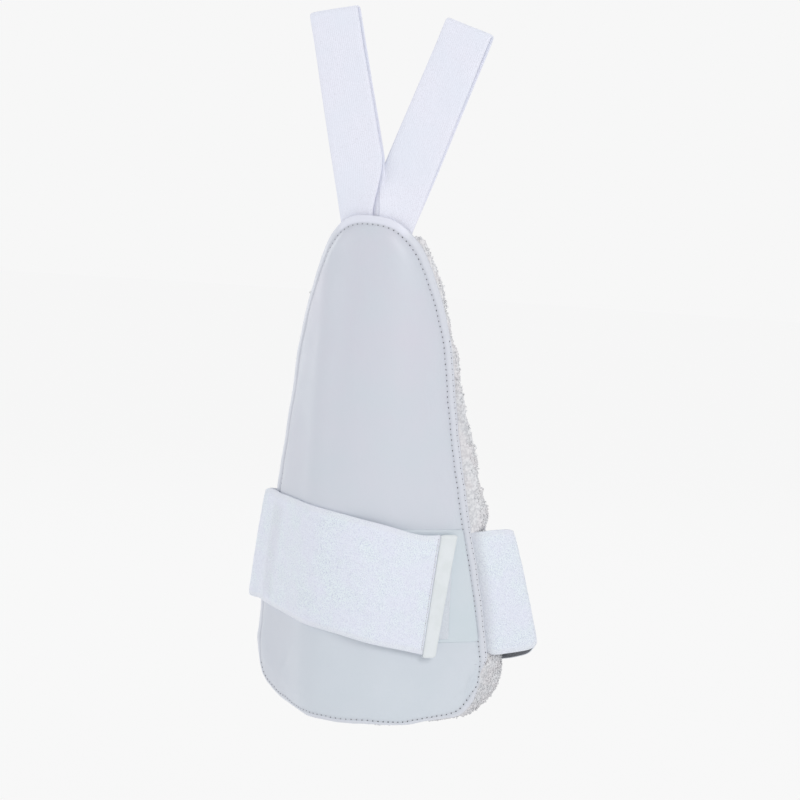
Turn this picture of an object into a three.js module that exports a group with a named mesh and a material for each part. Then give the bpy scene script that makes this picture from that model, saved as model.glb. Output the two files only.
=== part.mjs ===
// Inner thigh pad: a ridged pad with a stitched face, a towelling back, a wide leg strap and two belt loops.
// Millimetres. +Z is up, the face looks along -Y and the thigh lies behind, on +Y.
// The shape is worked out with the pad's lowest point at Z 0 and its middle at X 0.
// The group then shifts it, so that the origin is the middle of the seat against the thigh.
import * as THREE from 'three';

// The face.
const padHeight = 313;
const faceHalfWidth = 102;
const flankSlope = THREE.MathUtils.degToRad(44.2);
const ridgeRadius = 43;
const ridgeBow = 9.7;
const coverThickness = 1.5;
const flangeWidth = 6;
const bevelWidth = 5;
const faceRaise = 2.5;

// The outline, as shares of the pad's height and of the face's half width.
const widestHeight = 0.12;
const bottomRoundness = 3.2;
const taperShares = [
  [0.12, 1],
  [0.2, 0.962],
  [0.3, 0.9],
  [0.42, 0.812],
  [0.55, 0.724],
  [0.7, 0.64],
  [0.85, 0.57],
  [1, 0.5],
];
const topRoundFrom = 0.7;
const topRoundPower = 2.2;
const topRoundRoot = 2.4;

// The padding.
const lowerDepth = 29;
const upperDepth = 11;
const depthChangeLow = 0.4;
const depthChangeHigh = 0.64;
const wallBulge = 2;
const rimRadius = 8;
const edgeInset = 1;
const topInset = 8;
const topInsetBand = 30;

// The leg strap.
const strapWidth = 75;
const strapThickness = 2.2;
const leftWrapRadius = 20;
const leftOverhang = 2;
const rightFoldRadius = 6;
const rightFoldOut = 15.5;
const rightFoldLean = 0.09;
const rightFoldBack = 25;
const strapEndAlong = 57.6;
const strapEndHeight = 85.5;
const strapEndLean = THREE.MathUtils.degToRad(9.5);
const tabWidth = 9;
const tabTrim = 1.5;
const tabThickness = 3;

// The fastening on the right flank.
const panelThickness = 1;
const panelLow = 52.5;
const panelHigh = 124;
const panelInner = 20;
const patchThickness = 1;
const patchLow = 55;
const patchHigh = 116;
const patchInner = 26;
const patchOuter = 70;
const strapClimb = 26;
const strapClimbEnd = 18;

// The belt loops.
const loopWidth = 32;
const loopRootWidth = 21;
const loopThickness = 1.8;
const loopRootGap = 0.6;
const loopLean = THREE.MathUtils.degToRad(5.5);
const loopRootHeight = 303;
const loopRootClearance = 1.2;
const loopRootTurn = 0.85;
const loopGather = 50;
const loopOpenBy = 0.45;
const leftLoop = { side: -1, outer: 22, splay: THREE.MathUtils.degToRad(14.5), gap: 8, length: 138 };
const rightLoop = { side: 1, outer: 28, splay: THREE.MathUtils.degToRad(16.5), gap: 8, length: 131 };

const seatHeight = 92;
const clearance = 0.3;
const outlinePoints = 64;
const spineFromBottom = 61;
const spineFromTop = 46;

// How far the ridge stands back at a height: its two ends stand behind its middle.
function ridgeBack(z) {
  return ridgeBow * 4 * (z / padHeight - 0.5) ** 2;
}

// A place on the arched face. along is measured from the ridge along the curve, push is outward from it.
function archPoint(along, z, push) {
  const side = Math.sign(along);
  const reach = Math.abs(along);
  const turnLength = ridgeRadius * flankSlope;
  const angle = Math.min(reach / ridgeRadius, flankSlope);
  const straight = Math.max(reach - turnLength, 0);
  const x = ridgeRadius * Math.sin(angle) + straight * Math.cos(angle) + push * Math.sin(angle);
  const y = ridgeRadius * (1 - Math.cos(angle)) + straight * Math.sin(angle) - push * Math.cos(angle);
  return new THREE.Vector3(side * x, y + ridgeBack(z), z);
}

const taperCurve = new THREE.CatmullRomCurve3(
  taperShares.map(([height, width]) => new THREE.Vector3(width, height, 0)),
);

// The share of the half width that the taper leaves at a share of the height.
function taperAt(height) {
  let low = 0;
  let high = 1;
  for (let step = 0; step < 24; step += 1) {
    const middle = (low + high) / 2;
    if (taperCurve.getPoint(middle).y < height) {
      low = middle;
    } else {
      high = middle;
    }
  }
  return taperCurve.getPoint(low).x;
}

// The face's half width, along its curve, at a height.
function halfWidth(z) {
  const height = THREE.MathUtils.clamp(z / padHeight, 0, 1);
  if (height < widestHeight) {
    const down = 1 - height / widestHeight;
    return faceHalfWidth * (1 - down ** bottomRoundness) ** (1 / bottomRoundness);
  }
  const up = Math.max(height - topRoundFrom, 0) / (1 - topRoundFrom);
  return faceHalfWidth * taperAt(height) * (1 - up ** topRoundPower) ** (1 / topRoundRoot);
}

// The outline in the flattened face, evenly spaced, from the bottom's middle round by the right side.
function makeOutline(count) {
  const fine = 600;
  const right = [];
  for (let step = 0; step <= fine; step += 1) {
    const z = (padHeight * (1 - Math.cos((Math.PI * step) / fine))) / 2;
    right.push(new THREE.Vector2(halfWidth(z), z));
  }
  const lengths = [0];
  for (let step = 1; step <= fine; step += 1) {
    lengths.push(lengths[step - 1] + right[step].distanceTo(right[step - 1]));
  }
  const half = count / 2;
  const points = [];
  let at = 0;
  for (let step = 0; step <= half; step += 1) {
    const target = (lengths[fine] * step) / half;
    while (at < fine - 1 && lengths[at + 1] < target) {
      at += 1;
    }
    const share = (target - lengths[at]) / (lengths[at + 1] - lengths[at]);
    points.push(new THREE.Vector2().lerpVectors(right[at], right[at + 1], share));
  }
  for (let step = half - 1; step > 0; step -= 1) {
    points.push(new THREE.Vector2(-points[step].x, points[step].y));
  }
  return points;
}

const outline = makeOutline(outlinePoints);

// The direction that points into the face at each outline point.
const inward = outline.map((point, index) => {
  const next = outline[(index + 1) % outlinePoints];
  const last = outline[(index + outlinePoints - 1) % outlinePoints];
  return new THREE.Vector2(last.y - next.y, next.x - last.x).normalize();
});

// How far inside the outline a place in the flattened face lies.
function distanceInside(along, z) {
  const place = new THREE.Vector3(along, z, 0);
  const nearest = new THREE.Vector3();
  let least = Infinity;
  outline.forEach((point, index) => {
    const next = outline[(index + 1) % outlinePoints];
    const from = new THREE.Vector3(point.x, point.y, 0);
    const edge = new THREE.Line3(from, new THREE.Vector3(next.x, next.y, 0));
    edge.closestPointToPoint(place, true, nearest);
    least = Math.min(least, nearest.distanceTo(place));
  });
  return least;
}

// The face stands proud of its flange, with a bevel between them.
function raiseAt(inset) {
  return faceRaise * THREE.MathUtils.clamp((inset - flangeWidth) / bevelWidth, 0, 1);
}

// A place above the face at a height over its surface.
function overFace(along, z, height) {
  return archPoint(along, z, raiseAt(distanceInside(along, z)) + height);
}

// Collects shared vertices and triangles and gives back one closed mesh with its faces outward.
class Body {
  constructor() {
    this.points = [];
    this.faces = [];
  }

  add(point) {
    this.points.push(point);
    return this.points.length - 1;
  }

  triangle(a, b, c) {
    if (a !== b && b !== c && a !== c) {
      this.faces.push([a, b, c]);
    }
  }

  quad(a, b, c, d) {
    this.triangle(a, b, c);
    this.triangle(a, c, d);
  }

  bridge(lower, upper, closed) {
    const last = closed ? lower.length : lower.length - 1;
    for (let index = 0; index < last; index += 1) {
      const next = (index + 1) % lower.length;
      this.quad(lower[index], lower[next], upper[next], upper[index]);
    }
  }

  // Takes in another body's surface, turned over, and gives back how far its numbers moved.
  join(other) {
    const shift = this.points.length;
    other.points.forEach((point) => this.add(point));
    other.faces.forEach(([a, b, c]) => this.triangle(shift + c, shift + b, shift + a));
    return shift;
  }

  volume() {
    let total = 0;
    this.faces.forEach(([a, b, c]) => {
      const cross = new THREE.Vector3().crossVectors(this.points[b], this.points[c]);
      total += this.points[a].dot(cross);
    });
    return total / 6;
  }

  geometry() {
    if (this.volume() < 0) {
      this.faces.forEach((face) => face.reverse());
    }
    const geometry = new THREE.BufferGeometry().setFromPoints(this.points);
    geometry.setIndex(this.faces.flat());
    geometry.computeVertexNormals();
    return geometry;
  }
}

// Places in the flattened face, ring by ring from the outline to the middle line.
// insetAt gives a ring's distance from the outline at a height, shares go on from the last ring inward.
function faceRings(ringCount, shares, insetAt) {
  const rings = [];
  for (let ring = 0; ring < ringCount; ring += 1) {
    rings.push(outline.map((point, index) => {
      return point.clone().addScaledVector(inward[index], insetAt(ring, point.y));
    }));
  }
  const lastRing = rings[ringCount - 1];
  shares.forEach((share) => {
    rings.push(lastRing.map((point) => {
      const height = THREE.MathUtils.clamp(point.y, spineFromBottom, padHeight - spineFromTop);
      const middle = new THREE.Vector2(0, height);
      return point.clone().lerp(middle, share);
    }));
  });
  return rings;
}

// Adds rings of places to a body. The last ring folds shut on the middle line, so its places are shared.
function addRings(body, rings, placeAt) {
  const indexed = rings.map((ring, ringIndex) => {
    const shut = ringIndex === rings.length - 1;
    const known = new Map();
    return ring.map((place) => {
      const key = place.y.toFixed(3);
      if (shut && known.has(key)) {
        return known.get(key);
      }
      const index = body.add(placeAt(place.x, place.y, ringIndex));
      known.set(key, index);
      return index;
    });
  });
  for (let ring = 1; ring < indexed.length; ring += 1) {
    body.bridge(indexed[ring - 1], indexed[ring], true);
  }
  return indexed[0];
}

const faceShares = [0.3, 0.55, 0.72, 0.86, 1];
const faceInsets = [0, flangeWidth, flangeWidth + bevelWidth];

// The first two rings bound the flange, the others lie on the raised face.
function levelAt(ring) {
  return ring < 2 ? 0 : faceRaise;
}

function makeCover() {
  const body = new Body();
  const rings = faceRings(faceInsets.length, faceShares, (ring) => faceInsets[ring]);
  const front = addRings(body, rings, (x, z, ring) => archPoint(x, z, levelAt(ring)));
  const back = new Body();
  const rear = addRings(back, rings, (x, z, ring) => archPoint(x, z, levelAt(ring) - coverThickness));
  const shift = body.join(back);
  body.bridge(rear.map((index) => index + shift), front, true);
  return body.geometry();
}

// How deep the padding is behind the face, measured straight back.
function depthAt(z) {
  const change = THREE.MathUtils.smoothstep(z / padHeight, depthChangeLow, depthChangeHigh);
  return THREE.MathUtils.lerp(lowerDepth, upperDepth, change);
}

// The padding stops short of the outline at the top, where the loops' ends lie behind the flange.
function topRecess(z) {
  return THREE.MathUtils.smoothstep(z, padHeight - topInsetBand, padHeight - topInsetBand / 2);
}

const paddingInsets = [edgeInset, flangeWidth, flangeWidth + bevelWidth];
const rimInsets = [edgeInset, edgeInset + rimRadius * 0.3, edgeInset + rimRadius];
const rimDrops = [rimRadius * 0.5, rimRadius * 0.15, 0];
const wallShares = [0.35, 0.7];

function makePadding() {
  const body = new Body();
  const frontLevel = -coverThickness - clearance;
  const frontRings = faceRings(paddingInsets.length, faceShares, (ring, z) => {
    return paddingInsets[ring] + topInset * topRecess(z) * (1 - ring / faceShares.length);
  });
  const front = addRings(body, frontRings, (x, z, ring) => {
    return archPoint(x, z, levelAt(ring) + frontLevel - 2 * clearance * Math.sqrt(topRecess(z)));
  });

  let lower = front;
  wallShares.forEach((share) => {
    const ring = frontRings[0].map((place, index) => {
      const point = body.points[front[index]].clone();
      const out = wallBulge * Math.sin(Math.PI * share);
      point.x -= inward[index].x * out;
      point.z -= inward[index].y * out;
      point.y += (depthAt(place.y) - rimDrops[0]) * share;
      return body.add(point);
    });
    body.bridge(ring, lower, true);
    lower = ring;
  });

  const back = new Body();
  const backRings = faceRings(rimInsets.length, faceShares, (ring, z) => {
    return rimInsets[ring] + topInset * topRecess(z);
  });
  const rear = addRings(back, backRings, (x, z, ring) => {
    const point = archPoint(x, z, frontLevel);
    point.y += depthAt(z) - (rimDrops[ring] ?? 0) * Math.min(1, depthAt(z) / (2 * rimRadius));
    return point;
  });
  const shift = body.join(back);
  body.bridge(rear.map((index) => index + shift), lower, true);
  return body.geometry();
}

// A band as one closed body. placeAt gives the place for a station along it, a row across it and a side,
// 0 for the inner face and 1 for the outer.
function makeBand(stations, rows, placeAt) {
  const body = new Body();
  const grids = [0, 1].map((side) => {
    const grid = [];
    for (let station = 0; station < stations; station += 1) {
      const line = [];
      for (let row = 0; row < rows; row += 1) {
        line.push(body.add(placeAt(station, row, side)));
      }
      grid.push(line);
    }
    return grid;
  });
  const [inner, outer] = grids;
  for (let station = 1; station < stations; station += 1) {
    body.bridge(outer[station - 1], outer[station], false);
    body.bridge(inner[station], inner[station - 1], false);
    const last = rows - 1;
    body.quad(inner[station][0], inner[station - 1][0], outer[station - 1][0], outer[station][0]);
    body.quad(inner[station - 1][last], inner[station][last], outer[station][last], outer[station - 1][last]);
  }
  body.bridge(inner[0], outer[0], false);
  body.bridge(outer[stations - 1], inner[stations - 1], false);
  return body.geometry();
}

// A thin sheet laid on the face between two heights and two places along the curve.
function makeFaceSheet(low, high, innerAlong, outerAlong, height, thickness) {
  const stations = 10;
  const rows = 7;
  return makeBand(stations, rows, (station, row, side) => {
    const z = THREE.MathUtils.lerp(low, high, row / (rows - 1));
    const along = THREE.MathUtils.lerp(innerAlong, outerAlong(z), station / (stations - 1));
    return overFace(along, z, height + side * thickness);
  });
}

// The strap lies on the face at the left and on the fastening at the right.
function strapHeight(along) {
  const stack = panelThickness + patchThickness + 2 * clearance;
  return clearance + stack * THREE.MathUtils.smoothstep(along, strapClimbEnd - strapClimb, strapClimbEnd);
}

// The strap's run in plan: over the front, round the left edge, behind, a fold, and on to the right edge.
const frontStations = 30;
const wrapStations = 10;
const backStations = 12;
const foldStations = 7;
const sideStations = 5;
const strapStations = frontStations + wrapStations + backStations + foldStations + sideStations;
const strapRows = 7;

// How far the strap's middle line lies above its free end, as shares of the strap's width.
const strapRiseShares = [
  [0, 0],
  [0.08, 0.073],
  [0.16, 0.133],
  [0.3, 0.193],
  [0.45, 0.213],
  [0.52, 0.187],
  [0.6, 0.09],
  [0.72, -0.033],
  [0.84, -0.04],
  [0.92, 0.007],
  [1, -0.013],
];
const strapRise = new THREE.CatmullRomCurve3(
  strapRiseShares.map(([share, rise]) => new THREE.Vector3(share, rise, 0)),
);

function strapMiddle(share) {
  return strapEndHeight + strapWidth * strapRise.getPoint(share).y;
}

// The place of the strap's middle in plan, and its outward direction, at a station and a height.
// lift is how far the height lies above the strap's middle line.
function strapPlan(station, z, lift) {
  const edge = archPoint(halfWidth(z), z, 0);
  const level = faceRaise + strapThickness / 2;
  const wrapStart = -(halfWidth(z) + leftOverhang);
  let step = station;
  if (step < frontStations) {
    const start = strapEndAlong + lift * Math.tan(strapEndLean);
    const share = step / frontStations;
    const along = THREE.MathUtils.lerp(start, wrapStart, share);
    const angle = Math.min(Math.abs(along) / ridgeRadius, flankSlope) * Math.sign(along);
    const place = archPoint(along, z, level + strapHeight(along));
    return { x: place.x, y: place.y, outX: Math.sin(angle), outY: -Math.cos(angle) };
  }
  step -= frontStations;
  const leave = archPoint(wrapStart, z, level + clearance);
  const wrapX = leave.x + leftWrapRadius * Math.sin(flankSlope);
  const wrapY = leave.y + leftWrapRadius * Math.cos(flankSlope);
  if (step < wrapStations) {
    const turn = (step / wrapStations) * (Math.PI - flankSlope);
    const angle = Math.PI * 1.5 - flankSlope - turn;
    const outX = Math.cos(angle);
    const outY = Math.sin(angle);
    return { x: wrapX + leftWrapRadius * outX, y: wrapY + leftWrapRadius * outY, outX, outY };
  }
  step -= wrapStations;
  const foldX = edge.x + rightFoldOut + rightFoldLean * (strapEndHeight - z);
  const foldY = edge.y + rightFoldBack;
  if (step < backStations) {
    const share = step / backStations;
    const x = THREE.MathUtils.lerp(wrapX, foldX, share);
    const y = THREE.MathUtils.lerp(wrapY + leftWrapRadius, foldY + rightFoldRadius, share);
    return { x, y, outX: 0, outY: 1 };
  }
  step -= backStations;
  const seamX = edge.x + clearance;
  const seamY = edge.y + clearance;
  const reach = Math.hypot(foldX - seamX, foldY - seamY);
  const sideDirection = Math.atan2(foldY - seamY, foldX - seamX) - Math.asin(rightFoldRadius / reach);
  const foldEnd = sideDirection - Math.PI / 2;
  if (step < foldStations) {
    const angle = THREE.MathUtils.lerp(Math.PI / 2, foldEnd, step / foldStations);
    const outX = Math.cos(angle);
    const outY = Math.sin(angle);
    return { x: foldX + rightFoldRadius * outX, y: foldY + rightFoldRadius * outY, outX, outY };
  }
  step -= foldStations;
  const share = step / (sideStations - 1);
  const outX = Math.cos(foldEnd);
  const outY = Math.sin(foldEnd);
  const x = THREE.MathUtils.lerp(foldX + rightFoldRadius * outX, seamX, share);
  const y = THREE.MathUtils.lerp(foldY + rightFoldRadius * outY, seamY, share);
  return { x, y, outX, outY };
}

function makeStrap() {
  return makeBand(strapStations, strapRows, (station, row, side) => {
    const share = station / (strapStations - 1);
    const lift = strapWidth * (row / (strapRows - 1) - 0.5);
    const z = strapMiddle(share) + lift;
    const plan = strapPlan(station, z, lift);
    const out = (side - 0.5) * strapThickness;
    return new THREE.Vector3(plan.x + plan.outX * out, plan.y + plan.outY * out, z);
  });
}

// The tab carries on from the strap's free end.
function makeTab() {
  const stations = 3;
  return makeBand(stations, strapRows, (station, row, side) => {
    const lift = (strapWidth - tabTrim * 2) * (row / (strapRows - 1) - 0.5);
    const z = strapMiddle(0) + lift;
    const start = strapEndAlong + lift * Math.tan(strapEndLean) + clearance;
    const along = start + (tabWidth * station) / (stations - 1);
    return overFace(along, z, strapHeight(along) + side * tabThickness);
  });
}

// A folded loop: up the front layer, over the fold and down the back layer.
// Its outer edge is straight, and its inner edge is gathered in at the root.
function makeLoop({ side, outer, splay, gap, length }) {
  const layerStations = 12;
  const foldSteps = 8;
  const rows = 4;
  const foldRadius = (gap + loopThickness) / 2;
  const path = [];
  for (let step = 0; step <= layerStations; step += 1) {
    const share = step / layerStations;
    const open = THREE.MathUtils.smoothstep(share, 0, loopOpenBy);
    const half = (loopThickness + THREE.MathUtils.lerp(loopRootGap, gap, open)) / 2;
    path.push({ up: share * (length - foldRadius), back: -half, outUp: 0, outBack: -1 });
  }
  for (let step = 1; step < foldSteps; step += 1) {
    const angle = (Math.PI * step) / foldSteps;
    const outUp = Math.sin(angle);
    const outBack = -Math.cos(angle);
    path.push({
      up: length - foldRadius + foldRadius * outUp,
      back: foldRadius * outBack,
      outUp,
      outBack,
    });
  }
  for (let step = layerStations; step >= 0; step -= 1) {
    const { up, back } = path[step];
    path.push({ up, back: -back, outUp: 0, outBack: 1 });
  }

  const up = new THREE.Vector3(side * Math.sin(splay), Math.sin(loopLean), Math.cos(splay)).normalize();
  const across = new THREE.Vector3(Math.cos(splay), 0, -side * Math.sin(splay)).normalize();
  const back = new THREE.Vector3().crossVectors(up, across).normalize();
  const stack = loopThickness + loopRootGap / 2;
  const root = archPoint(side * outer, loopRootHeight, -coverThickness - loopRootClearance - stack);
  const rootTurn = side * loopRootTurn * ((outer - loopRootWidth / 2) / ridgeRadius);
  return makeBand(path.length, rows, (station, row, faceSide) => {
    const place = path[station];
    const out = (faceSide - 0.5) * loopThickness;
    const rise = place.up + place.outUp * out;
    const depth = place.back + place.outBack * out;
    const spread = THREE.MathUtils.smoothstep(rise, 0, loopGather);
    const width = THREE.MathUtils.lerp(loopRootWidth, loopWidth, spread);
    const turn = rootTurn * (1 - spread);
    const sideways = across.clone().applyAxisAngle(up, turn);
    const behind = back.clone().applyAxisAngle(up, turn);
    return root.clone()
      .addScaledVector(up, rise)
      .addScaledVector(sideways, -side * width * (row / (rows - 1)))
      .addScaledVector(behind, depth);
  });
}

const group = new THREE.Group();

function addPart(name, geometry, color, roughness) {
  const material = new THREE.MeshStandardMaterial({ color, roughness, metalness: 0 });
  const mesh = new THREE.Mesh(geometry, material);
  mesh.name = name;
  group.add(mesh);
}

const faceSheetEdge = (z) => halfWidth(z) - flangeWidth - bevelWidth - 2 * clearance;

addPart('front_cover', makeCover(), 0xd0d6de, 0.45);
addPart('back_pad', makePadding(), 0xe8e8e4, 0.98);
addPart(
  'landing_panel',
  makeFaceSheet(panelLow, panelHigh, panelInner, faceSheetEdge, clearance, panelThickness),
  0xd2d8df,
  0.5,
);
const patchLevel = panelThickness + 2 * clearance;
addPart(
  'fastening_patch',
  makeFaceSheet(patchLow, patchHigh, patchInner, () => patchOuter, patchLevel, patchThickness),
  0xe2e4ec,
  0.95,
);
addPart('leg_strap', makeStrap(), 0xe4e8f2, 0.95);
addPart('strap_end_tab', makeTab(), 0xe6ecee, 0.4);
addPart('loop_left', makeLoop(leftLoop), 0xe2e6f0, 0.85);
addPart('loop_right', makeLoop(rightLoop), 0xe2e6f0, 0.85);

group.position.set(0, -(ridgeBack(seatHeight) + lowerDepth), -seatHeight);

export default group;
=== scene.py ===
import math

import bmesh
import bpy
import numpy as np
from mathutils import Matrix, Vector, noise


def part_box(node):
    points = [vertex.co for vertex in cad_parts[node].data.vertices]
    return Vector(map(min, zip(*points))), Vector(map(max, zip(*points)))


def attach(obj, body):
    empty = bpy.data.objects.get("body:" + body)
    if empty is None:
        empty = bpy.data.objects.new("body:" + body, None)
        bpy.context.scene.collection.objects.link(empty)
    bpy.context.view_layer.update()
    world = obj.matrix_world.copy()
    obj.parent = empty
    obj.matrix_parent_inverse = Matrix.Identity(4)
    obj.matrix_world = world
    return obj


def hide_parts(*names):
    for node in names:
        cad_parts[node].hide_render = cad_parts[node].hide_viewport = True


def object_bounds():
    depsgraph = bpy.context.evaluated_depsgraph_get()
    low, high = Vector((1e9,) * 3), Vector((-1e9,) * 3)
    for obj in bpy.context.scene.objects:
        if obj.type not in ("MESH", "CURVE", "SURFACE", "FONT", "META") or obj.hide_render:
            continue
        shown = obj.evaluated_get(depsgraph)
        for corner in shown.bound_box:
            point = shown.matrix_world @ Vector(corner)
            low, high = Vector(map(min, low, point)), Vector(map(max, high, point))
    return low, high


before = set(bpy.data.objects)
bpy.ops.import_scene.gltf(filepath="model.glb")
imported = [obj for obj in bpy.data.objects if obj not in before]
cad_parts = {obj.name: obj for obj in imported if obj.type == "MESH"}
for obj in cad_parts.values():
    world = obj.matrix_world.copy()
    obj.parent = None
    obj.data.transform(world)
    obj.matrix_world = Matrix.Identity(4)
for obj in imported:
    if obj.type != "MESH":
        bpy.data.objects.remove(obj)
cad_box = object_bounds()

BODY = "root"
MM = 0.001

# The pad. Its height and lowest point come from the frame, and heights are measured up from that point.
cover_low, cover_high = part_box("front_cover")
PAD_HEIGHT = cover_high.z - cover_low.z
SEAT_HEIGHT = -cover_low.z
FACE_HALF_WIDTH = 102 * MM
FLANK_SLOPE = math.radians(44.2)
RIDGE_RADIUS = 43 * MM
RIDGE_BOW = 9.7 * MM
COVER_THICKNESS = 1.5 * MM
FLANGE_WIDTH = 6 * MM
BEVEL_WIDTH = 5 * MM
FACE_RAISE = 2.5 * MM
WIDEST_HEIGHT = 0.12
BOTTOM_ROUNDNESS = 3.2
TAPER = [
    (0.12, 1), (0.2, 0.962), (0.3, 0.9), (0.42, 0.812), (0.55, 0.724), (0.7, 0.64), (0.85, 0.57), (1, 0.5),
]
TOP_ROUND_FROM = 0.7
TOP_ROUND_POWER = 2.2
TOP_ROUND_ROOT = 2.4
SPINE_FROM_BOTTOM = 61 * MM
SPINE_FROM_TOP = 46 * MM
CLEARANCE = 0.3 * MM
TOP_LIFT = 3 * MM

# The padding.
LOWER_DEPTH = 29 * MM
UPPER_DEPTH = 11 * MM
DEPTH_CHANGE = (0.4, 0.64)
RIM_RADIUS = 6 * MM
TOP_INSET = 8 * MM
TOP_INSET_FROM = 13 * MM
TOP_INSET_TO = 5 * MM
SWELL_CAP = 3 * MM
SWELL_STEPS = 20
SWELL_SETTINGS = {
    "quality": 6, "mass": 0.25, "tension_stiffness": 12, "compression_stiffness": 12, "shear_stiffness": 6,
    "bending_stiffness": 0.6, "use_pressure": True, "uniform_pressure_force": 4,
    "vertex_group_mass": "held", "shrink_min": -0.035,
}
PAD_STATIONS = 260
SIDE_LOOPS = {
    "loops_per_square_metre": 460000.0, "least_gap": 1.2 * MM, "loop_height": 0.9 * MM,
    "loop_spread": 1.3 * MM, "yarn_radius": 0.32 * MM,
}
BACK_LOOPS = {
    "loops_per_square_metre": 260000.0, "least_gap": 1.7 * MM, "loop_height": 1.2 * MM,
    "loop_spread": 1.5 * MM, "yarn_radius": 0.36 * MM,
}

# How far the padding's walls swell out past the cover, in millimetres: by height on the strap's side, and
# everywhere on the other side.
RIGHT_BULGE = [
    (0, 1), (8, 1.6), (22, 3.2), (36, 4.4), (50, 3), (62, 2), (112, 2), (118, 3.4), (122, 6.5),
    (128, 9.6), (143, 9.8), (156, 9.2), (168, 8.8), (178, 8.4), (190, 7.2), (202, 5.9), (214, 4.2),
    (235, 3.3), (250, 2.8), (262, 2.3), (272, 3.2), (290, 5), (302, 6.4), (313, 6),
]
LEFT_BULGE = 0.6

# How far the lower corner on the strap's side hangs below the drawn outline, in millimetres, by how far out.
CORNER_DROP = [
    (4, 0), (18, 0.6), (34, 1.5), (46, 1.9), (54, 2.1), (60, 3.1), (65, 4), (70, 3), (75, 1.8), (80, 1.2),
]
CORNER_HEIGHT = (6 * MM, 40 * MM)
CORNER_TUCK = 4 * MM

# The leg strap and what it fastens to.
STRAP_WIDTH = 75 * MM
STRAP_THICKNESS = 2.2 * MM
LEFT_WRAP_RADIUS = 20 * MM
LEFT_OVERHANG = 4.2 * MM
LEFT_OVERHANG_LEAN = 0.055
LEFT_FOLD_SHARPNESS = 0.12
LEFT_FOLD_TURN = 0.56
RIGHT_FOLD_RADIUS = 6 * MM
RIGHT_FOLD_OUT = 17 * MM
RIGHT_FOLD_LEAN = 0.082
RIGHT_FOLD_BACK = 25 * MM
STRAP_END_ALONG = 55.3 * MM
STRAP_END_HEIGHT = 85.5 * MM
STRAP_END_LEAN = math.radians(6.5)
STRAP_RISE = [
    (0, -0.024), (0.03, -0.011), (0.064, 0.016), (0.105, 0.06), (0.143, 0.099), (0.19, 0.129), (0.25, 0.153),
    (0.32, 0.169), (0.4, 0.182), (0.46, 0.185), (0.52, 0.165), (0.6, 0.09), (0.7, -0.05), (0.76, -0.155),
    (0.785, -0.178), (0.802, -0.172), (0.825, -0.092), (0.85, -0.02), (0.878, 0.003), (0.905, 0.006),
    (0.94, -0.012), (1, -0.056),
]
# The strap's width as a share of its full width, by how far along it lies.
STRAP_SPREAD = [
    (0, 0.985), (0.03, 0.947), (0.065, 0.935), (0.11, 0.945), (0.15, 0.95), (0.2, 0.97), (0.29, 0.99),
    (0.36, 0.98), (0.45, 0.96), (0.52, 0.98), (0.6, 1), (0.85, 1), (0.92, 1.02), (0.96, 1.05), (1, 1.06),
]
STRAP_CORNER = 6 * MM
SEAM_TUCK = 1.5 * MM
SEAM_DEPTH = 2.3 * MM
STRAP_SINK = 2.3 * MM
STRAP_RUNS = {"front": 30, "wrap": 10, "back": 12, "fold": 7, "side": 4}
STRAP_STATIONS = 320
STRAP_ROWS = 44
TAB_WIDTH = 10.2 * MM
TAB_TAPER = 1.2 * MM
TAB_OVERHANG = 1.7 * MM
TAB_THICKNESS = 3 * MM
PANEL_THICKNESS = 1 * MM
PANEL_WALL = 0.8 * MM
PANEL_LIFT = 0.12 * MM
PANEL_LOW = 52.5 * MM
PANEL_HIGH = 124 * MM
PANEL_INNER = 20 * MM
PANEL_EDGE_GAP = 6.4 * MM
PATCH_THICKNESS = 1 * MM
PATCH_LIFT = 1.05 * MM
PATCH_LOW = 55 * MM
PATCH_HIGH = 116 * MM
PATCH_INNER = 26 * MM
PATCH_OUTER = 70 * MM
STRAP_CLIMB = (-8 * MM, 18 * MM)

# The belt loops.
LOOP_WIDTH = 32 * MM
LOOP_ROOT_WIDTH = 21 * MM
LOOP_THICKNESS = 1.8 * MM
LOOP_ROOT_GAP = 0.6 * MM
LOOP_LEAN = math.radians(5.5)
LOOP_ROOT_HEIGHT = 303 * MM
LOOP_ROOT_CLEARANCE = 1.2 * MM
LOOP_ROOT_TURN = 0.85
LOOP_OPEN_BY = 0.45
LEFT_LOOP = {
    "side": -1, "outer": 22 * MM, "splay": 14.6, "gap": 3 * MM, "length": 140.8 * MM, "twist": -8,
    "tilt": -0.02, "gather": 46 * MM, "slack": 5 * MM,
}
RIGHT_LOOP = {
    "side": 1, "outer": 27 * MM, "splay": 17.8, "gap": 3 * MM, "length": 133.4 * MM, "twist": -9,
    "tilt": 0.008, "gather": 34 * MM, "slack": 0,
}

# Small unevenness, in layers of size and height in millimetres, and seed.
EDGE_WANDER = ((17, 0.55, 11), (6, 0.2, 13))
TOWELLING_LUMPS = ((9, 0.6, 21), (2.6, 0.45, 22))
STRAP_WAVES = ((15, 0.35, 31), (4, 0.16, 32))
LOOP_WAVES = ((30, 0.7, 51), (9, 0.15, 52))

# Stitching. Along the bottom the seam runs nearer to the edge, up to a height on each side.
STITCH_PITCH = 3.4 * MM
STITCH_INSET = 5.5 * MM
SEAM_SHIFT = 3.2 * MM
SEAM_SHIFT_RIGHT = 44 * MM
SEAM_SHIFT_LEFT = 28 * MM
RIM_STITCH_INSET = 1.4 * MM
RIM_STITCH_FROM = 36 * MM
RIM_STITCH_TO = 240 * MM
RIM_STITCHES = {
    "hole_radius": 0.34 * MM, "thread_radius": 0.16 * MM, "stitch_length": 2.4 * MM, "rise": 0.05 * MM,
}
STRAP_HOLE_RADIUS = 0.24 * MM
THREAD_RADIUS = 0.24 * MM
HOLE_RADIUS = 0.5 * MM

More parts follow.
